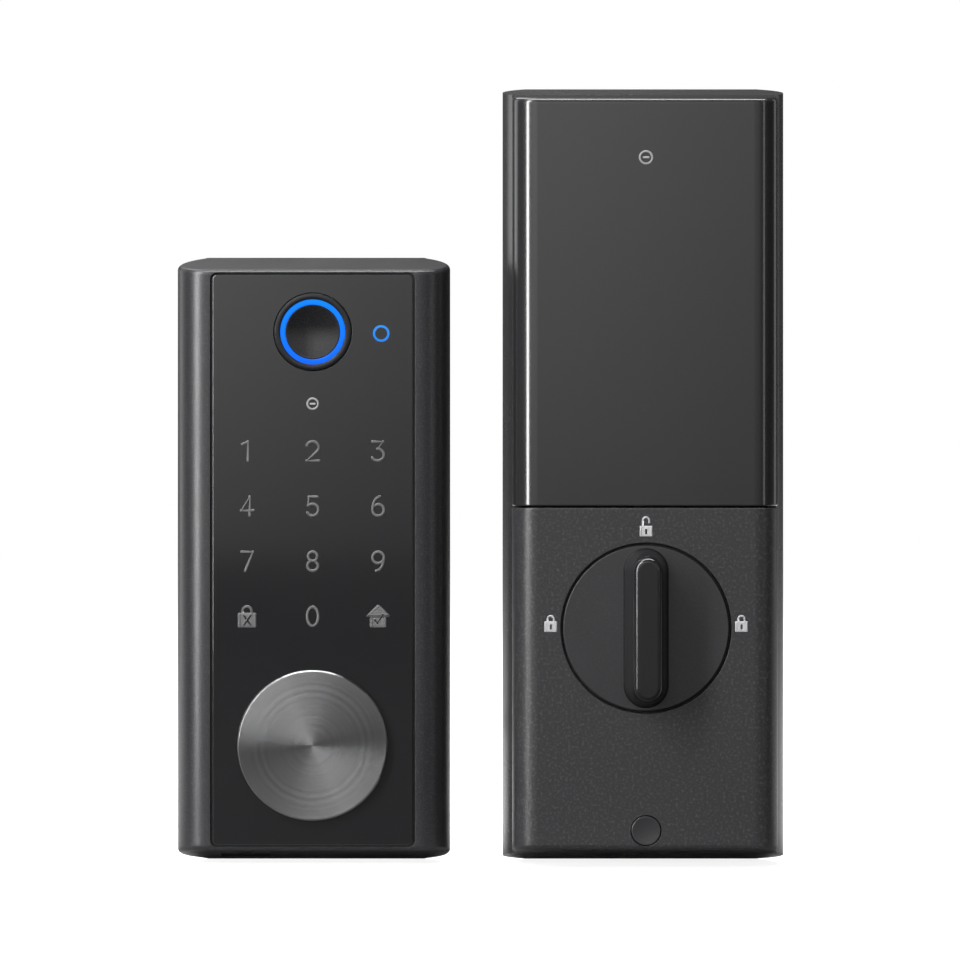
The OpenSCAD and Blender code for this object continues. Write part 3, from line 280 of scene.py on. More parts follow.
def cut(mesh, *cutters):
    """mesh with every cutter taken out of it."""
    for cutter in cutters:
        mesh = combined(mesh, cutter, "DIFFERENCE")
    return mesh


def piece(name, mesh, paint, body, slot, *nodes, smooth=30):
    """The finished piece: smooth up to an angle, painted, riding on its body."""
    shape = bmesh.new()
    shape.from_mesh(mesh)
    bmesh.ops.remove_doubles(shape, verts=shape.verts, dist=1e-7)
    bmesh.ops.dissolve_degenerate(shape, edges=shape.edges, dist=1e-7)
    shape.to_mesh(mesh)
    shape.free()
    mesh.materials.clear()
    mesh.materials.append(paint)
    mesh.shade_smooth()
    mesh.set_sharp_from_angle(angle=radians(smooth))
    made = bpy.data.objects.new(name, mesh)
    bpy.context.scene.collection.objects.link(made)
    flat = made.modifiers.new("flat_faces", "WEIGHTED_NORMAL")
    flat.keep_sharp = True
    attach(made, body)
    if nodes:
        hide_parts(*nodes)
    return made


def node_group(name, inputs, outputs):
    """A shader node group with float inputs and outputs: the tree, its input node's sockets and
    its output node."""
    group = bpy.data.node_groups.new(name, "ShaderNodeTree")
    for label, default in inputs:
        socket = group.interface.new_socket(label, in_out="INPUT", socket_type="NodeSocketFloat")
        socket.default_value = default
    for label, kind in outputs:
        group.interface.new_socket(label, in_out="OUTPUT", socket_type=kind)
    start = group.nodes.new("NodeGroupInput")
    end = group.nodes.new("NodeGroupOutput")
    return group, start.outputs, end.inputs


# Grain in the surface itself: a fine noise for height, and a speckle mask
grain_group, given, out = node_group("grain", [("Scale", 2500.0), ("Contrast", 0.5)],
                                     [("Height", "NodeSocketFloat"), ("Speckle", "NodeSocketFloat")])
place = add(grain_group, "ShaderNodeTexCoord").outputs["Object"]
fine = add(grain_group, "ShaderNodeTexNoise", inputs={"Vector": place, "Scale": given["Scale"],
                                                      "Detail": 4.0, "Roughness": 0.6})
link(grain_group, fine.outputs["Fac"], out["Height"])
flecks = add(grain_group, "ShaderNodeMapRange", inputs={
    0: fine.outputs["Fac"], 1: 0.5, 2: 0.72, 3: 0.0, 4: given["Contrast"]})
link(grain_group, flecks.outputs[0], out["Speckle"])

# Handling: fingers and cloths leave soft patches that are duller or brighter
handled_group, given, out = node_group(
    "handling", [("Scale", 60.0), ("Smooth", 0.2), ("Dull", 0.35)],
    [("Roughness", "NodeSocketFloat"), ("Patch", "NodeSocketFloat")])
place = add(handled_group, "ShaderNodeTexCoord").outputs["Object"]
patches = add(handled_group, "ShaderNodeTexNoise", inputs={
    "Vector": place, "Scale": given["Scale"], "Detail": 5.0, "Roughness": 0.55,
    "Distortion": 0.4})
spread = add(handled_group, "ShaderNodeMapRange", inputs={
    0: patches.outputs["Fac"], 1: 0.3, 2: 0.7, 3: given["Smooth"], 4: given["Dull"]})
link(handled_group, spread.outputs[0], out["Roughness"])
link(handled_group, patches.outputs["Fac"], out["Patch"])

# Edge wear and glint: where the surface turns sharply it is lighter, in broken patches, and the
# normal is eased. On most finishes this is rubbed wear; on the touch panel it is a painted highlight
wear_and_glint_group, given, out = node_group(
    "edge_wear_and_glint", [("Radius", 0.0003), ("Amount", 0.5), ("Patch Scale", 500.0)],
    [("Mask", "NodeSocketFloat"), ("Normal", "NodeSocketVector")])
place = add(wear_and_glint_group, "ShaderNodeTexCoord").outputs["Object"]
eased = add(wear_and_glint_group, "ShaderNodeBevel", samples=6, inputs={"Radius": given["Radius"]})
true = add(wear_and_glint_group, "ShaderNodeNewGeometry").outputs["True Normal"]
turn = add(wear_and_glint_group, "ShaderNodeVectorMath", operation="DOT_PRODUCT",
           inputs={0: eased.outputs[0], 1: true}).outputs["Value"]
edge = add(wear_and_glint_group, "ShaderNodeMapRange", inputs={0: turn, 1: 0.985, 2: 0.8, 3: 0.0, 4: 1.0})
broken = add(wear_and_glint_group, "ShaderNodeTexNoise", inputs={
    "Vector": place, "Scale": given["Patch Scale"], "Detail": 3.0})
kept = add(wear_and_glint_group, "ShaderNodeMapRange", inputs={
    0: broken.outputs["Fac"], 1: 0.35, 2: 0.65, 3: 0.0, 4: given["Amount"]})
mask = add(wear_and_glint_group, "ShaderNodeMath", operation="MULTIPLY", use_clamp=True,
           inputs={0: edge.outputs[0], 1: kept.outputs[0]})
link(wear_and_glint_group, mask.outputs[0], out["Mask"])
link(wear_and_glint_group, eased.outputs[0], out["Normal"])


def finish(name, colour, smooth, dull, metallic=0.0, grain=2500.0, depth=0.01, speckle=0.25,
           fleck=None, patch=60.0, wear_and_glint=0.3, worn_and_glint=None, ease=0.15, coat=0.0, coat_rough=0.05,
           specular=0.5):
    """A material: base colour with flecks, patchy gloss, bump grain, and eased edges in a lighter
    colour, which is rubbed wear on most finishes and a painted highlight on the touch panel.
    depth and ease are in millimetres."""
    made = bpy.data.materials.new(name)
    made.use_nodes = True
    tree = made.node_tree
    shader = tree.nodes["Principled BSDF"]
    grains = add(tree, "ShaderNodeGroup", node_tree=grain_group,
                 inputs={"Scale": grain, "Contrast": speckle})
    handled = add(tree, "ShaderNodeGroup", node_tree=handled_group,
                  inputs={"Scale": patch, "Smooth": smooth, "Dull": dull})
    wear_and_glint_edges = add(tree, "ShaderNodeGroup", node_tree=wear_and_glint_group,
                 inputs={"Radius": ease * mm, "Amount": wear_and_glint})
    lighter = fleck or [min(1, c * 1.6 + 0.02) for c in colour]
    worn_and_glint_colour = worn_and_glint or [min(1, c * 1.9 + 0.05) for c in colour]
    flecked = add(tree, "ShaderNodeMix", data_type="RGBA", inputs={
        0: grains.outputs["Speckle"], 6: (*colour, 1), 7: (*lighter, 1)})
    # The lighter edge colour is rubbed wear on most finishes; on the touch panel it is a painted
    # highlight.
    tinted = add(tree, "ShaderNodeMix", data_type="RGBA", inputs={
        0: wear_and_glint_edges.outputs["Mask"], 6: flecked.outputs[2], 7: (*worn_and_glint_colour, 1)})
    bump = add(tree, "ShaderNodeBump", inputs={
        "Strength": 1.0, "Distance": depth * mm, "Height": grains.outputs["Height"],
        "Normal": wear_and_glint_edges.outputs["Normal"]})
    link(tree, tinted.outputs[2], shader.inputs["Base Color"])
    link(tree, handled.outputs["Roughness"], shader.inputs["Roughness"])
    link(tree, bump.outputs[0], shader.inputs["Normal"])
    shader.inputs["Metallic"].default_value = metallic
    shader.inputs["Specular IOR Level"].default_value = specular
    shader.inputs["Coat Weight"].default_value = coat
    shader.inputs["Coat Roughness"].default_value = coat_rough
    return made


housing_paint = finish("housing_paint", (0.018, 0.018, 0.020), 0.3, 0.38, metallic=0.25,
                       grain=2800.0, depth=0.006, speckle=0.35, fleck=(0.1, 0.1, 0.105),
                       patch=35.0, wear_and_glint=0.35, worn_and_glint=(0.12, 0.12, 0.125), specular=0.6)

ext_low, ext_high, ext_front, ext_lean = -29.8, 120.2, -22.0, 4.3 / 22
ext_plan = mirrored(arc(14.6, -14, 18.9, 46.02, 0, 20) + arc(25.5, -14, 8, 0, -90, 14)[1:])
body = shell("housing", ext_plan, lambda y: ext_low - ext_lean * y, lambda y: ext_high + ext_lean * y,
             -0.4, (1.1, 1.1))
panel_half, panel_low, panel_high = 24.5, -24.45, 114.85
sensor_axis, status_axis = (0, 100.85), (16.7, 100.5)
pivot_z = 14.5
cavity_half, cavity_low, cavity_high, cavity_front = 25.7, -24.9, 115.3, -18.4
panel_front, panel_back, recess_gap = -21.9, -20.4, 0.5
port_x, port_y = -17.1, 8.6
flap_half, flap_depth, flap_hinge_y, flap_hinge_z, hinge_pin_r = 6.3, 1.9, 3.1, 0.95, 0.56


def at_port(x, y, z):
    """A point given from the power port's middle, in the plane of the leaning end, in metres."""
    a = -atan(ext_lean)
    return ((port_x + x) * mm, (y * cos(a) - z * sin(a) - port_y) * mm,
            (ext_low + ext_lean * port_y + y * sin(a) + z * cos(a)) * mm)


def port_block(name, half, ys, zs):
    """A block set into the leaning end."""
    return skin(name, [[at_port(x, y, z) for x, z in (
        (-half, zs[0]), (half, zs[0]), (half, zs[1]), (-half, zs[1]))] for y in ys])


hinge_hole = skin("hinge_hole", [[
    at_port(x, flap_hinge_y + hinge_pin_r * u, flap_hinge_z + hinge_pin_r * v)
    for u, v, _, _ in arc(0, 0, 1, 0, 345, 23)] for x in (-flap_half - 1.3, flap_half + 1.3)])
body = cut(
    body,
    port_block("flap_pocket", flap_half, (-4.3, 4.5), (-1, flap_depth)),
    port_block("nail_notch", 1.6, (-5.2, -4), (-1, 0.6)),
    port_block("socket_slot", 4.55, (-1.9, 1.5), (1, 6.5)),
    hinge_hole,
    prism("cavity", rounded(cavity_half, cavity_low, cavity_high, 3), [(cavity_front, 0), (1, 0)]),
    prism("recess", rounded(panel_half + recess_gap, panel_low - recess_gap,
                            panel_high + recess_gap, 1.7),
          [(ext_front - 1, 1.0), (ext_front, 0.06), (ext_front + 0.07, 0), (panel_back, 0)]),
    turned("key_bore", 0, 0, [(9.4, -21), (9.4, -18)]),
    turned("sensor_bore", 0, sensor_axis[1], [(9.7, -21), (9.7, -18)]),
    turned("pivot_bore", 0, pivot_z, [(1.55, -21), (1.55, -18)]))
piece("exterior_housing", body, housing_paint, "root", "housing_paint", "ext_housing")


# ---- Touch panel -----------------------------------------------------------------------------
# One sheet of hard-coated gloss black plastic, bonded into the housing. Its rim has a fine
# polished chamfer, and it has holes for the reader, the key cylinder and the cover's pivot.

# The panel's pale grey edge colour paints the glint along the rim's chamfer: a painted highlight, not
# wear.
panel_gloss = finish("panel_gloss", (0.006, 0.006, 0.007), 0.16, 0.22, grain=1400.0, depth=0.0006,
                     speckle=0.1, patch=25.0, wear_and_glint=0.7, worn_and_glint=(0.2, 0.2, 0.2), coat=0.8,
                     coat_rough=0.06, specular=0.25)
sheet = prism("panel", rounded(panel_half, panel_low, panel_high, 1.2),
              [(panel_front, -0.3), (panel_front + 0.02, -0.16), (panel_front + 0.1, -0.05),
               (panel_front + 0.24, 0), (panel_back, 0)])
sheet = cut(
    sheet,
    turned("reader_hole", 0, sensor_axis[1], [(9.85, -22.2), (9.55, -21.75), (9.55, -20)]),
    turned("key_hole", 0, 0, [(9.8, -22.2), (9.5, -21.75), (9.5, -20)]),
    turned("pivot_hole", 0, pivot_z, [(1.9, -22.2), (1.9, -20)]),
    turned("status_groove", *status_axis, [(2.05, -22.2), (2.05, -21.4), (1.46, -21.4), (1.46, -22.2)],
           loop=True, steps=64))
piece("touch_panel_sheet", sheet, panel_gloss, "root", "panel_gloss", "touch_panel")


# ---- Key legends -----------------------------------------------------------------------------
# Digits, a crossed padlock and a house with a tick are printed on the panel in grey ink. The
# strokes are drawn as lines, and a tree of nodes gives every line its width and round ends.

ink_tree = bpy.data.node_groups.new("ink_strokes", "GeometryNodeTree")
sockets = {}
for label, kind in (("Lines", "NodeSocketGeometry"), ("Width", "NodeSocketFloat"),
                    ("Thickness", "NodeSocketFloat"), ("Level", "NodeSocketFloat"),
                    ("Ink", "NodeSocketMaterial")):
    sockets[label] = ink_tree.interface.new_socket(label, in_out="INPUT", socket_type=kind)
ink_tree.interface.new_socket("Print", in_out="OUTPUT", socket_type="NodeSocketGeometry")
given = ink_tree.nodes.new("NodeGroupInput").outputs
end = ink_tree.nodes.new("NodeGroupOutput")
radius = add(ink_tree, "ShaderNodeMath", operation="MULTIPLY",
             inputs={0: given["Width"], 1: 0.5}).outputs[0]
section = add(ink_tree, "GeometryNodeCurvePrimitiveCircle",
              inputs={"Resolution": 12, "Radius": radius})
path = add(ink_tree, "GeometryNodeMeshToCurve", inputs={"Mesh": given["Lines"]})
line = add(ink_tree, "GeometryNodeCurveToMesh", inputs={
    "Curve": path.outputs[0], "Profile Curve": section.outputs[0], "Fill Caps": True})
ball = add(ink_tree, "GeometryNodeMeshUVSphere",
           inputs={"Segments": 12, "Rings": 6, "Radius": radius})
ends = add(ink_tree, "GeometryNodeInstanceOnPoints",
           inputs={"Points": given["Lines"], "Instance": ball.outputs[0]})
both = add(ink_tree, "GeometryNodeJoinGeometry")
link(ink_tree, line.outputs[0], both.inputs[0])
link(ink_tree, ends.outputs[0], both.inputs[0])
real = add(ink_tree, "GeometryNodeRealizeInstances", inputs={0: both.outputs[0]})
flatness = add(ink_tree, "ShaderNodeMath", operation="DIVIDE",
               inputs={0: given["Thickness"], 1: radius}).outputs[0]
flat = add(ink_tree, "ShaderNodeCombineXYZ", inputs={0: 1.0, 1: flatness, 2: 1.0})
lift = add(ink_tree, "ShaderNodeCombineXYZ", inputs={1: given["Level"]})
placed = add(ink_tree, "GeometryNodeTransform", inputs={
    "Geometry": real.outputs[0], "Translation": lift.outputs[0], "Scale": flat.outputs[0]})
inked = add(ink_tree, "GeometryNodeSetMaterial",
            inputs={"Geometry": placed.outputs[0], "Material": given["Ink"]})
link(ink_tree, inked.outputs[0], end.inputs[0])


def bow(x, z, rx, rz, start, finish_at, steps=18):
    """Points of an elliptical bow, in degrees."""
    return [(x + rx * cos(radians(start + (finish_at - start) * i / steps)),
             z + rz * sin(radians(start + (finish_at - start) * i / steps)))
            for i in range(steps + 1)]


def hatched(edge, rows=14):
    """Strokes that fill a shape symmetric about its middle, given as (z, half width) upwards."""
    strokes = []
    for (z0, half0), (z1, half1) in zip(edge, edge[1:]):
        count = max(1, round(rows * (z1 - z0)))
        for i in range(count + 1):
            t = i / count
            z, half = z0 + (z1 - z0) * t, half0 + (half1 - half0) * t
            strokes.append([(-half, z), (half, z)])
    return strokes


# Each sign is a list of strokes in a box one unit high, centred on the origin
signs = {
    "1": [[(-0.26, 0.36), (0.04, 0.5), (0.04, -0.5)]],
    "2": [bow(0, 0.2, 0.32, 0.3, 160, -38) + [(-0.32, -0.5), (0.34, -0.5)]],
    "3": [[(-0.3, 0.5), (0.27, 0.5), (-0.05, 0.12)] + bow(-0.03, -0.19, 0.33, 0.31, 90, -150)],
    "4": [[(0.13, -0.5), (0.13, 0.5), (-0.31, -0.22), (0.33, -0.22)]],
    "5": [[(0.25, 0.5), (-0.2, 0.5), (-0.24, 0.04)] + bow(0, -0.19, 0.3, 0.31, 130, -152)],
    "6": [bow(0, -0.2, 0.3, 0.3, 0, 360), bow(0.12, -0.2, 0.42, 0.7, 180, 92)],
    "7": [[(-0.29, 0.5), (0.3, 0.5), (-0.1, -0.5)]],
    "8": [bow(0, 0.26, 0.24, 0.24, 0, 360), bow(0, -0.24, 0.28, 0.26, 0, 360)],
    "9": [bow(0, 0.2, 0.3, 0.3, 0, 360), bow(-0.12, 0.2, 0.42, 0.7, 0, -88)],
    "0": [bow(0, 0, 0.29, 0.5, 0, 360, 28)],
    "lock": hatched([(-0.44, 0.32), (0.07, 0.32)])
            + [[(-0.19, 0.1), (-0.19, 0.24)] + bow(0, 0.24, 0.19, 0.2, 180, 0) + [(0.19, 0.1)]],
    "open_lock": hatched([(-0.44, 0.32), (0.07, 0.32)])
                 + [[(-0.19, 0.1), (-0.19, 0.44)] + bow(0, 0.44, 0.19, 0.2, 180, 0)
                    + [(0.19, 0.34)]],
    "keyhole": [[(0, -0.12), (0, -0.11)], [(0, -0.14), (0, -0.3)]],
    "solid_lock": hatched([(-0.45, 0.37), (0.1, 0.37)])
                  + [[(-0.21, 0.1), (-0.21, 0.24)] + bow(0, 0.24, 0.21, 0.21, 180, 0)
                     + [(0.21, 0.1)]],
    "cross": [[(-0.15, 0.04), (0.15, -0.38)], [(0.15, 0.04), (-0.15, -0.38)]],
    "house": hatched([(-0.45, 0.32), (0.0, 0.32), (0.02, 0.48), (0.46, 0.03)]),
    "tick": [[(-0.17, -0.14), (-0.04, -0.3), (0.2, 0.08)]],
    "mark": [bow(0, 0, 0.5, 0.5, 0, 360, 32), [(-0.2, 0.0), (0.2, 0.0)]],
}


def printed(name, ink, level, width, body, marks):
    """Signs printed on one face. marks are (sign, x, z, height), in millimetres."""
    points, edges = [], []
    for sign, x, z, height in marks:
        for stroke in signs[sign]:
            first = len(points)
            points += [((x + u * height) * mm, 0, (z + v * height) * mm) for u, v in stroke]
            edges += [(first + i, first + i + 1) for i in range(len(stroke) - 1)]
    lines = bpy.data.meshes.new(name)
    lines.from_pydata(points, edges, [])
    made = bpy.data.objects.new(name, lines)
    bpy.context.scene.collection.objects.link(made)
    modifier = made.modifiers.new("strokes", "NODES")
    modifier.node_group = ink_tree
    for label, value in (("Width", width * mm), ("Thickness", 0.025 * mm), ("Level", level * mm),
                         ("Ink", ink)):
        modifier[sockets[label].identifier] = value
    made.update_tag()
    mesh = bpy.data.meshes.new_from_object(
        made.evaluated_get(bpy.context.evaluated_depsgraph_get()))
    made.modifiers.clear()
    made.data = mesh
    mesh.shade_smooth()
    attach(made, body)
    return made


legend_ink = finish("legend_ink", (0.1, 0.1, 0.103), 0.38, 0.5, grain=3500.0, depth=0.003,
                    speckle=0.2, patch=120.0, wear_and_glint=0.0, coat=0.3, coat_rough=0.2)
key_rows, key_pitch, digit_h = (71.75, 58.3, 44.85, 31.4), 16, 4.65
marks = []
for row, keys in zip(key_rows, ("123", "456", "789", " 0 ")):
    marks += [(key, (column - 1) * key_pitch, row, digit_h)
              for column, key in enumerate(keys) if key != " "]
lock_key, home_key, icon_h = (-key_pitch, key_rows[3]), (key_pitch, key_rows[3]), 5.3
marks += [("solid_lock", *lock_key, icon_h), ("house", *home_key, icon_h)]
printed("key_legends", legend_ink, panel_front, 0.72, "root", marks)
printed("key_cut_outs", panel_gloss, panel_front - 0.02, 0.55, "root", [
    ("cross", *lock_key, icon_h), ("tick", *home_key, icon_h)])
maker_ink = finish("maker_mark_ink", (0.3, 0.3, 0.3), 0.35, 0.5, grain=3500.0, depth=0.003,
                   speckle=0.15, patch=120.0, wear_and_glint=0.0)
printed("panel_mark", maker_ink, panel_front, 0.5, "root", [("mark", 0, 83.3, 2.6)])


# ---- Fingerprint reader ----------------------------------------------------------------------
# A dark turned bezel stands just proud of the panel. Inside it a light ring of clear plastic
# glows blue round the dished black touch pad.

bezel_black = finish("bezel_black", (0.01, 0.01, 0.011), 0.22, 0.3, metallic=0.3, grain=2600.0,
                     depth=0.003, speckle=0.2, patch=90.0, wear_and_glint=0.3, specular=0.4)
bezel = turned("bezel", 0, sensor_axis[1], [
    (9.42, -20), (9.42, -21.95), (9.3, -22.14), (9.1, -22.2), (8.3, -22.2), (8.08, -22.14),
    (7.96, -22.0), (7.96, -20)], loop=True)
piece("reader_bezel", bezel, bezel_black, "root", "knob_metal", "sensor_bezel")


def glowing(name, near_blue, far_blue, low, high, strength):
    """Frosted plastic lit from behind: two blues that run across it, brighter towards one side."""
    made = bpy.data.materials.new(name)
    made.use_nodes = True
    tree = made.node_tree
    shader = tree.nodes["Principled BSDF"]
    place = add(tree, "ShaderNodeTexCoord").outputs["Object"]
    height = add(tree, "ShaderNodeSeparateXYZ", inputs={0: place}).outputs["Z"]
    along = add(tree, "ShaderNodeMapRange", inputs={
        0: height, 1: low * mm, 2: high * mm, 3: 0.0, 4: 1.0}).outputs[0]
    cloud = add(tree, "ShaderNodeTexNoise", inputs={"Vector": place, "Scale": 180.0}).outputs["Fac"]
    mixed = add(tree, "ShaderNodeMath", operation="MULTIPLY_ADD", use_clamp=True,
                inputs={0: cloud, 1: 0.35, 2: along}).outputs[0]
    blue = add(tree, "ShaderNodeMix", data_type="RGBA",
               inputs={0: mixed, 6: (*near_blue, 1), 7: (*far_blue, 1)}).outputs[2]
    link(tree, blue, shader.inputs["Emission Color"])
    shader.inputs["Base Color"].default_value = (0.0, 0.03, 0.12, 1)
    frost = add(tree, "ShaderNodeTexNoise", inputs={"Vector": place, "Scale": 3000.0})
    bump = add(tree, "ShaderNodeBump", inputs={"Distance": 0.005 * mm, "Height": frost.outputs["Fac"]})
    link(tree, bump.outputs[0], shader.inputs["Normal"])
    dull = add(tree, "ShaderNodeGroup", node_tree=handled_group, inputs={"Smooth": 0.25, "Dull": 0.4})
    link(tree, dull.outputs["Roughness"], shader.inputs["Roughness"])
    shader.inputs["Emission Strength"].default_value = strength
    shader.inputs["Specular IOR Level"].default_value = 0.15
    return made


ring_light = glowing("reader_light", (0.0, 0.09, 1.0), (0.0, 0.22, 1.0), 93, 112, 0.95)
light_ring = turned("light", 0, sensor_axis[1], [
    (7.94, -20), (7.94, -21.88), (7.8, -21.98), (7.3, -22.0), (6.86, -21.98), (6.72, -21.88),
    (6.72, -20)], loop=True)
piece("reader_light_ring", light_ring, ring_light, "root", "light_blue", "sensor_light_ring")
sensor_black = finish("sensor_black", (0.008, 0.008, 0.009), 0.16, 0.24, grain=2200.0, depth=0.002,
                      speckle=0.2, patch=90.0, wear_and_glint=0.1, coat=0.25, coat_rough=0.12, specular=0.2)
dish_r, dish_depth = 6.5, 0.75
dish = [(0.05 + (dish_r - 0.05) * i / 14, -21.78 + dish_depth * (1 - (i / 14) ** 2))
        for i in range(15)]
pad = turned("pad", 0, sensor_axis[1], dish + [(6.62, -21.76), (6.68, -21.7), (6.68, -20)])
piece("reader_pad", pad, sensor_black, "root", "sensor_black", "sensor_pad")

status_light = glowing("status_light", (0.01, 0.2, 0.85), (0.03, 0.32, 0.95), 98, 103, 0.85)
status = turned("status", *status_axis, [
    (2.02, -21.42), (2.02, -21.86), (1.96, -21.9), (1.55, -21.9), (1.49, -21.86), (1.49, -21.42)],
    loop=True, steps=64)
piece("status_ring", status, status_light, "root", "light_blue", "status_light_ring")


# ---- Keyhole cover ---------------------------------------------------------------------------
# A spun metal disc, dark plated, with the fine rings of its turning and a bright chamfer. It
# hangs on a pin near its upper edge, and a magnet opposite holds it shut.

# Turned grooves take the place of the grain and the lighter edges that the other finishes have
spun = finish("spun_metal", (0.23, 0.23, 0.234), 0.22, 0.27, metallic=1.0, grain=1800.0,
              depth=0.0, speckle=0.0, patch=45.0, wear_and_glint=0.0, ease=0.0)
tree = spun.node_tree
shader = tree.nodes["Principled BSDF"]
place = add(tree, "ShaderNodeTexCoord").outputs["Object"]
apart = add(tree, "ShaderNodeSeparateXYZ", inputs={0: place})
flat = add(tree, "ShaderNodeCombineXYZ", inputs={0: apart.outputs["X"], 2: apart.outputs["Z"]})
reach = add(tree, "ShaderNodeVectorMath", operation="LENGTH", inputs={0: flat.outputs[0]})
fine_rings = add(tree, "ShaderNodeTexNoise", noise_dimensions="1D", inputs={
    "W": reach.outputs["Value"], "Scale": 4500.0, "Detail": 2.0})
wide_rings = add(tree, "ShaderNodeTexNoise", noise_dimensions="1D", inputs={
    "W": reach.outputs["Value"], "Scale": 1100.0, "Detail": 1.0})
rings = add(tree, "ShaderNodeMath", operation="MULTIPLY_ADD", inputs={
    0: wide_rings.outputs["Fac"], 1: 1.6, 2: fine_rings.outputs["Fac"]})
groove_pitch = 0.27 * mm
phase = add(tree, "ShaderNodeMath", operation="MULTIPLY",
            inputs={0: reach.outputs["Value"], 1: 2 * pi / groove_pitch})
pass_of_tool = add(tree, "ShaderNodeMath", operation="SINE", inputs={0: phase.outputs[0]})
tooled = add(tree, "ShaderNodeMath", operation="MULTIPLY_ADD", inputs={
    0: pass_of_tool.outputs[0], 1: 1.2, 2: rings.outputs[0]})
grained = next(n for n in tree.nodes if n.bl_idname == "ShaderNodeBump")
turned_bump = add(tree, "ShaderNodeBump", inputs={
    "Strength": 0.8, "Distance": 0.004 * mm, "Height": tooled.outputs[0],
    "Normal": grained.outputs[0]})
link(tree, turned_bump.outputs[0], shader.inputs["Normal"])
world_way = add(tree, "ShaderNodeVectorTransform", vector_type="VECTOR", convert_from="OBJECT",
                convert_to="WORLD", inputs={0: flat.outputs[0]})
unit_way = add(tree, "ShaderNodeVectorMath", operation="NORMALIZE", inputs={0: world_way.outputs[0]})
link(tree, unit_way.outputs[0], shader.inputs["Tangent"])
tone = add(tree, "ShaderNodeMapRange",
           inputs={0: tooled.outputs[0], 1: -0.2, 2: 2.6, 3: 0.72, 4: 1.25})
plating = shader.inputs["Base Color"].links[0].from_socket
toned = add(tree, "ShaderNodeVectorMath", operation="SCALE",
            inputs={0: plating, "Scale": tone.outputs[0]})
link(tree, toned.outputs[0], shader.inputs["Base Color"])
shader.inputs["Anisotropic"].default_value = 0.93
cover_r, cover_front, cover_back = 18.35, -23.8, -22.2
disc = turned("cover", 0, 0, [
    (0.4, cover_front + 0.02), (9, cover_front), (cover_r - 0.5, cover_front),
    (cover_r - 0.36, cover_front + 0.05), (cover_r - 0.04, cover_front + 0.36),
    (cover_r, cover_front + 0.48), (cover_r, cover_back - 0.12), (cover_r - 0.12, cover_back),
    (0.4, cover_back)], steps=192)
disc = cut(disc,
           turned("pin_socket", 0, pivot_z, [(1.5, -23.0), (1.5, -22)], steps=48),
           turned("magnet_socket", 0, -pivot_z, [(2.5, -23.2), (2.5, -22)], steps=48))
piece("keyhole_cover_disc", disc, spun, "keyhole_cover", "spun_metal", "keyhole_cover", smooth=20)


# ---- Interior covers -------------------------------------------------------------------------
# Two moulded plastic covers meet at a seam: the gloss one slides up off the batteries, and the
# lower one, finely textured, carries the well that the thumb-turn sits in.

unit_x, skirt_half, int_front, parting = 80.9, 32.2, -34.0, -22.3
int_low, int_high, int_lean, seam, seam_gap, wall = -29.8, 162.2, 5.45 / 34, 58.2, 0.4, 1.8
thumb_z, button_z = 28.95, -19.9


def cover_plan(inset):
    """The covers' plan, inset by a wall. Its back runs past the parting plane when inset."""
    half, r = skirt_half - inset, 6.2 - inset
    back = parting + (1 if inset else 0)
    right = [(half, back, 1, 0)] + arc(half - r, int_front + 6.2, r, 0, -90, 14)
    return [(x + unit_x, y, nx, ny) for x, y, nx, ny in mirrored(right)]


def end_plane(z, rate):
    """The z at each y of an end that leans in by rate towards the front."""
    return lambda y: z + rate * y


def cover_shell(name, low, high, low_rate, high_rate, fillets):
    """A cover: the outer form with its inner form taken out."""
    outer = shell(name, cover_plan(0), end_plane(low, low_rate), end_plane(high, high_rate),
                  parting, fillets)
    inner_low = low + wall if low_rate else low - 5
    inner_high = high - wall if high_rate else high + 5
    inner = shell("inside", cover_plan(wall), end_plane(inner_low, low_rate),
                  end_plane(inner_high, high_rate), parting + 1, (0, 0))
    return cut(outer, inner)


cover_gloss = finish("cover_gloss", (0.014, 0.014, 0.015), 0.22, 0.28, grain=1600.0, depth=0.0006,
                     speckle=0.08, patch=22.0, wear_and_glint=0.1, worn_and_glint=(0.07, 0.07, 0.07), coat=0.6,
                     coat_rough=0.1, specular=0.3)
battery = cover_shell("battery", seam + seam_gap / 2, int_high, 0, int_lean, (0.35, 1.1))
hook_x, hook_y, hook_len, groove = 29.4, (-26.0, -18.7), 8, 31.9
hook_places = (64.2, 142.625)
for side in (-1, 1):
    for z in hook_places:
        for u0, u1, y0, y1 in ((hook_x, 31.2, hook_y[0], hook_y[0] + 3),
                               (hook_x, hook_x + 0.7, hook_y[0] + 0.1, hook_y[1]),
                               (hook_x, groove - 0.2, hook_y[1] - 1.2, hook_y[1])):
            half = (u1 - u0) / 2
            bar = prism("hook", rounded(half, z, z + hook_len, 0.15,
                                        cx=unit_x + side * (u0 + half)), [(y0, 0), (y1, 0)])
            battery = combined(battery, bar, "UNION")
piece("battery_cover_shell", battery, cover_gloss, "battery_cover", "cover_gloss", "battery_cover")

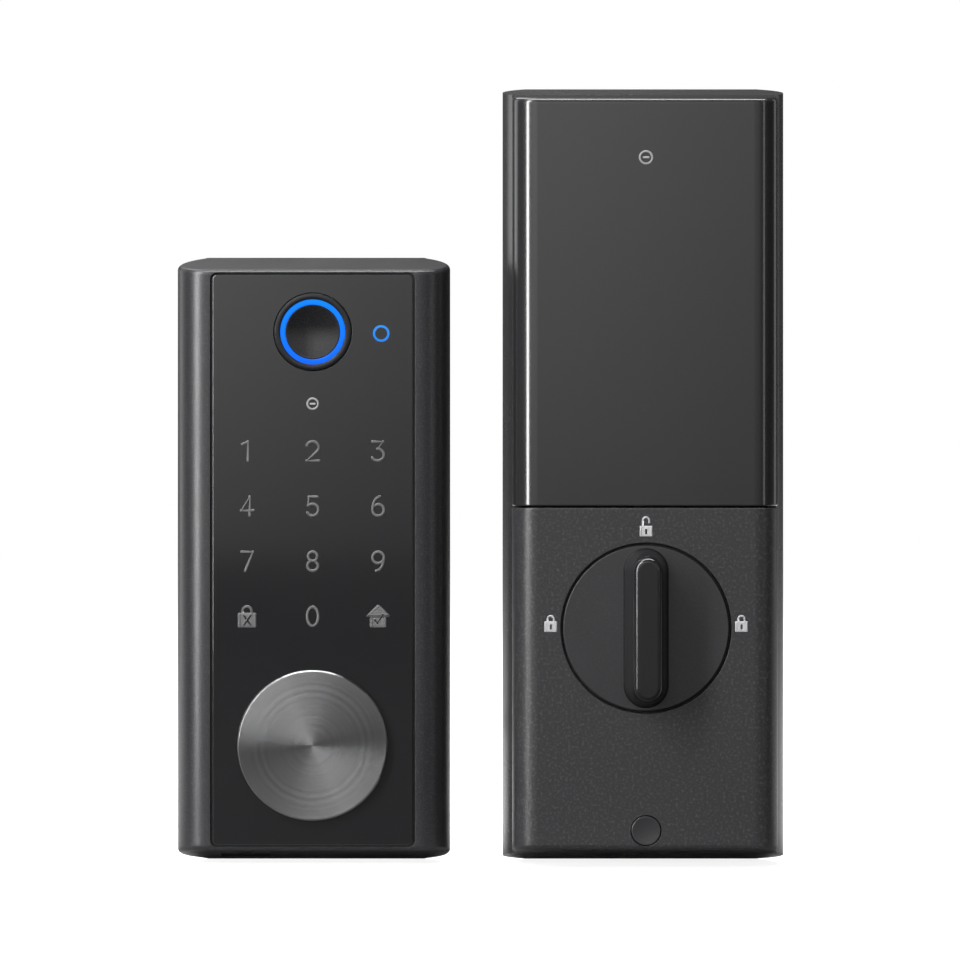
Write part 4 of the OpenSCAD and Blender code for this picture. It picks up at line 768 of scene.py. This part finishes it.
cover_matte = finish("cover_matte", (0.02, 0.02, 0.0215), 0.32, 0.38, grain=1500.0, depth=0.05,
                     speckle=0.6, fleck=(0.07, 0.07, 0.073), patch=30.0, wear_and_glint=0.15,
                     worn_and_glint=(0.1, 0.1, 0.1), specular=0.4)
lower = cover_shell("lower", int_low, seam - seam_gap / 2, -int_lean, 0, (1.1, 0.35))
well_r, well_floor, well_back = 20.65, -31.0, -29.4
well = turned("well", unit_x, thumb_z, [(well_r + 1.6, int_front + 1), (well_r + 1.6, well_back)])
lower = combined(lower, well, "UNION")
lower = cut(
    lower,
    turned("well_mouth", unit_x, thumb_z, [
        (well_r + 0.9, int_front - 1), (well_r + 0.06, int_front - 0.02),
        (well_r, int_front + 0.08), (well_r, well_floor)]),
    turned("shaft_hole", unit_x, thumb_z, [(10.05, -32), (10.05, -28)]),
    turned("button_hole", unit_x, button_z, [
        (4.6, int_front - 1), (3.79, int_front - 0.02), (3.75, int_front + 0.06), (3.75, -30)],
           steps=64))
piece("lower_cover_shell", lower, cover_matte, "root", "cover_matte", "lower_cover")

cover_ink = finish("cover_ink", (0.42, 0.42, 0.43), 0.4, 0.5, grain=3500.0, depth=0.003,
                   speckle=0.2, patch=120.0, wear_and_glint=0.0)
lock_h = 4.1
places = ((unit_x, 53.1), (unit_x - 23, 30.1), (unit_x + 23, 30.1))
printed("turn_marks", cover_ink, int_front, 0.5, "root", [
    (sign, *at, lock_h) for sign, at in zip(("open_lock", "lock", "lock"), places)])
printed("turn_mark_keyholes", cover_matte, int_front - 0.02, 0.55, "root",
                [("keyhole", *at, lock_h) for at in places])
printed("cover_mark", maker_ink, int_front, 0.5, "battery_cover",
                [("mark", unit_x, 142.5, 3.0)])


# ---- Thumb-turn ------------------------------------------------------------------------------
# A turned and painted disc with a tall gloss black grip across it. The grip slopes up from a foot
# to a narrow flat ridge, and its shaft is slotted at the back for the exterior unit's blade.

knob_metal = finish("knob_metal", (0.025, 0.025, 0.027), 0.28, 0.36, metallic=0.3, grain=2600.0,
                    depth=0.004, speckle=0.3, patch=50.0, wear_and_glint=0.3, specular=0.6)
disc_r, disc_front, disc_back = 20.25, -33.6, -31.3
turn = turned("turn", unit_x, thumb_z, [
    (0.4, disc_front), (disc_r - 0.55, disc_front), (disc_r - 0.4, disc_front + 0.04),
    (disc_r - 0.06, disc_front + 0.36), (disc_r, disc_front + 0.5), (disc_r, disc_back),
    (10, disc_back), (10, -23.5), (8, -23.5), (8, -5), (0.4, -5)], steps=160)
turn = cut(turn, prism("blade_slot", rounded(1.2, thumb_z - 3.55, thumb_z + 3.55, 0.2, cx=unit_x),
                       [(-19, 0), (-4, 0)]))


def stadium(half, length):
    """A bar's outline with round ends, centred on the turn's axis, with normals."""
    return (arc(unit_x, thumb_z + length / 2 - half, half, 0, 180, 24)
            + arc(unit_x, thumb_z - length / 2 + half, half, 180, 360, 24))


grip_half, grip_length, grip_front, ridge_half = 5.15, 38.0, -45.6, 2.2
levels = [(disc_front + 0.6, 0.0)]
for i in range(7):
    a = radians(15 * i)
    levels.append((disc_front - 0.4 * sin(a), 0.3 * (1 - sin(a))))
levels += [(disc_front - 0.9, -0.05), (-35.6, -0.35), (-38.4, -0.8), (-41.4, -1.15), (-43.2, -1.38)]
side, drop = 1.5, 2.1
for i in range(11):
    a = radians(9 * i)
    levels.append((grip_front + drop * (1 - sin(a)),
                   -side - (grip_half - ridge_half - side) * (1 - cos(a))))
bar = skin("grip", [[((u + nu * grow) * mm, y * mm, (v + nv * grow) * mm)
                     for u, v, nu, nv in stadium(grip_half, grip_length)] for y, grow in levels])
piece("thumb_turn_disc", turn, knob_metal, "thumbturn", "knob_metal", "thumbturn", smooth=24)
grip_gloss = finish("grip_gloss", (0.008, 0.008, 0.009), 0.17, 0.22, grain=2600.0, depth=0.001,
                    speckle=0.15, patch=50.0, wear_and_glint=0.2, specular=0.5)
piece("thumb_turn_grip", bar, grip_gloss, "thumbturn", "knob_metal", smooth=24)


# ---- Function button -------------------------------------------------------------------------
# A small moulded button with a dished face, painted like the turn. Its stem reaches the switch
# on the board behind it.

button_r = 3.55
dished = [(0.05 + (button_r - 0.45) * i / 10, int_front + 0.22 - 0.15 * (i / 10) ** 2)
          for i in range(11)]
button = turned("button", unit_x, button_z, dished + [
    (button_r - 0.2, int_front + 0.06), (button_r - 0.05, int_front + 0.12),
    (button_r, int_front + 0.28), (button_r, -29.2), (1.6, -29.2), (1.6, -24.05), (0.1, -24.05)],
    steps=72)
piece("function_button_cap", button, knob_metal, "function_button", "knob_metal",
      "function_button", smooth=24)


# ---- Everything else -------------------------------------------------------------------------
# The frame, plates, screws, lock cylinder, boards, cells, motor and gears keep the shapes they
# were made to. Each gets the finish of what it is made of.

frame_matte = finish("frame_matte", (0.02, 0.02, 0.021), 0.24, 0.3, grain=3000.0, depth=0.005,
                     speckle=0.35, fleck=(0.06, 0.06, 0.062), patch=30.0, wear_and_glint=0.0, ease=0.0,
                     specular=0.8)
steel = finish("steel", (0.46, 0.46, 0.47), 0.24, 0.42, metallic=1.0, grain=1500.0, depth=0.004,
               speckle=0.3, fleck=(0.56, 0.56, 0.56), patch=150.0, wear_and_glint=0.4)
brass = finish("brass", (0.55, 0.38, 0.14), 0.22, 0.4, metallic=1.0, grain=1500.0, depth=0.003,
               speckle=0.3, fleck=(0.66, 0.5, 0.22), patch=120.0, wear_and_glint=0.4)
zinc = finish("zinc", (0.42, 0.43, 0.44), 0.36, 0.52, metallic=1.0, grain=700.0, depth=0.006,
              speckle=0.6, fleck=(0.58, 0.59, 0.6), patch=70.0, wear_and_glint=0.4)
board_green = finish("board_green", (0.015, 0.09, 0.04), 0.3, 0.42, grain=900.0, depth=0.01,
                     speckle=0.6, fleck=(0.02, 0.16, 0.07), patch=90.0, wear_and_glint=0.4,
                     worn_and_glint=(0.3, 0.32, 0.2))
chip_black = finish("chip_black", (0.018, 0.018, 0.018), 0.42, 0.56, grain=2600.0, depth=0.012,
                    speckle=0.4, patch=80.0, wear_and_glint=0.25)
rubber = finish("rubber", (0.014, 0.014, 0.014), 0.6, 0.75, grain=1800.0, depth=0.012,
                speckle=0.3, patch=70.0, wear_and_glint=0.35, specular=0.35)
cell_sleeve = finish("cell_sleeve", (0.10, 0.22, 0.36), 0.22, 0.34, grain=1200.0, depth=0.003,
                     speckle=0.3, patch=80.0, wear_and_glint=0.4, worn_and_glint=(0.5, 0.5, 0.5), coat=0.4)
gear_nylon = finish("gear_nylon", (0.68, 0.66, 0.6), 0.36, 0.5, grain=1400.0, depth=0.006,
                    speckle=0.25, patch=110.0, wear_and_glint=0.3)
cream = finish("connector_cream", (0.72, 0.66, 0.5), 0.36, 0.5, grain=1800.0, depth=0.008,
               speckle=0.25, patch=120.0, wear_and_glint=0.3)
led_white = finish("led_white", (0.75, 0.73, 0.62), 0.28, 0.4, grain=2400.0, depth=0.004,
                   speckle=0.3, patch=200.0, wear_and_glint=0.3)
clear_guide = finish("clear_guide", (0.7, 0.74, 0.76), 0.2, 0.32, grain=1500.0, depth=0.004,
                     speckle=0.2, patch=90.0, wear_and_glint=0.3, coat=0.3)
reset_red = finish("reset_red", (0.5, 0.03, 0.02), 0.32, 0.45, grain=1800.0, depth=0.006,
                   speckle=0.3, patch=150.0, wear_and_glint=0.3)
finishes = {
    "housing_paint": housing_paint, "panel_gloss": panel_gloss, "cover_gloss": cover_gloss,
    "cover_matte": cover_matte, "frame_matte": frame_matte, "spun_metal": spun,
    "knob_metal": knob_metal, "sensor_black": sensor_black, "light_blue": status_light,
    "clear_guide": clear_guide, "board_green": board_green, "chip_black": chip_black,
    "led_white": led_white, "steel": steel, "brass": brass, "zinc": zinc, "rubber": rubber,
    "connector_cream": cream, "gear_nylon": gear_nylon, "cell_sleeve": cell_sleeve,
    "reset_red": reset_red}
for part in frame["record"]["subparts"]:
    made_of = finishes[part["material_slot"]]
    for place in frame["nodes"][part["node"]].material_slots:
        place.material = made_of
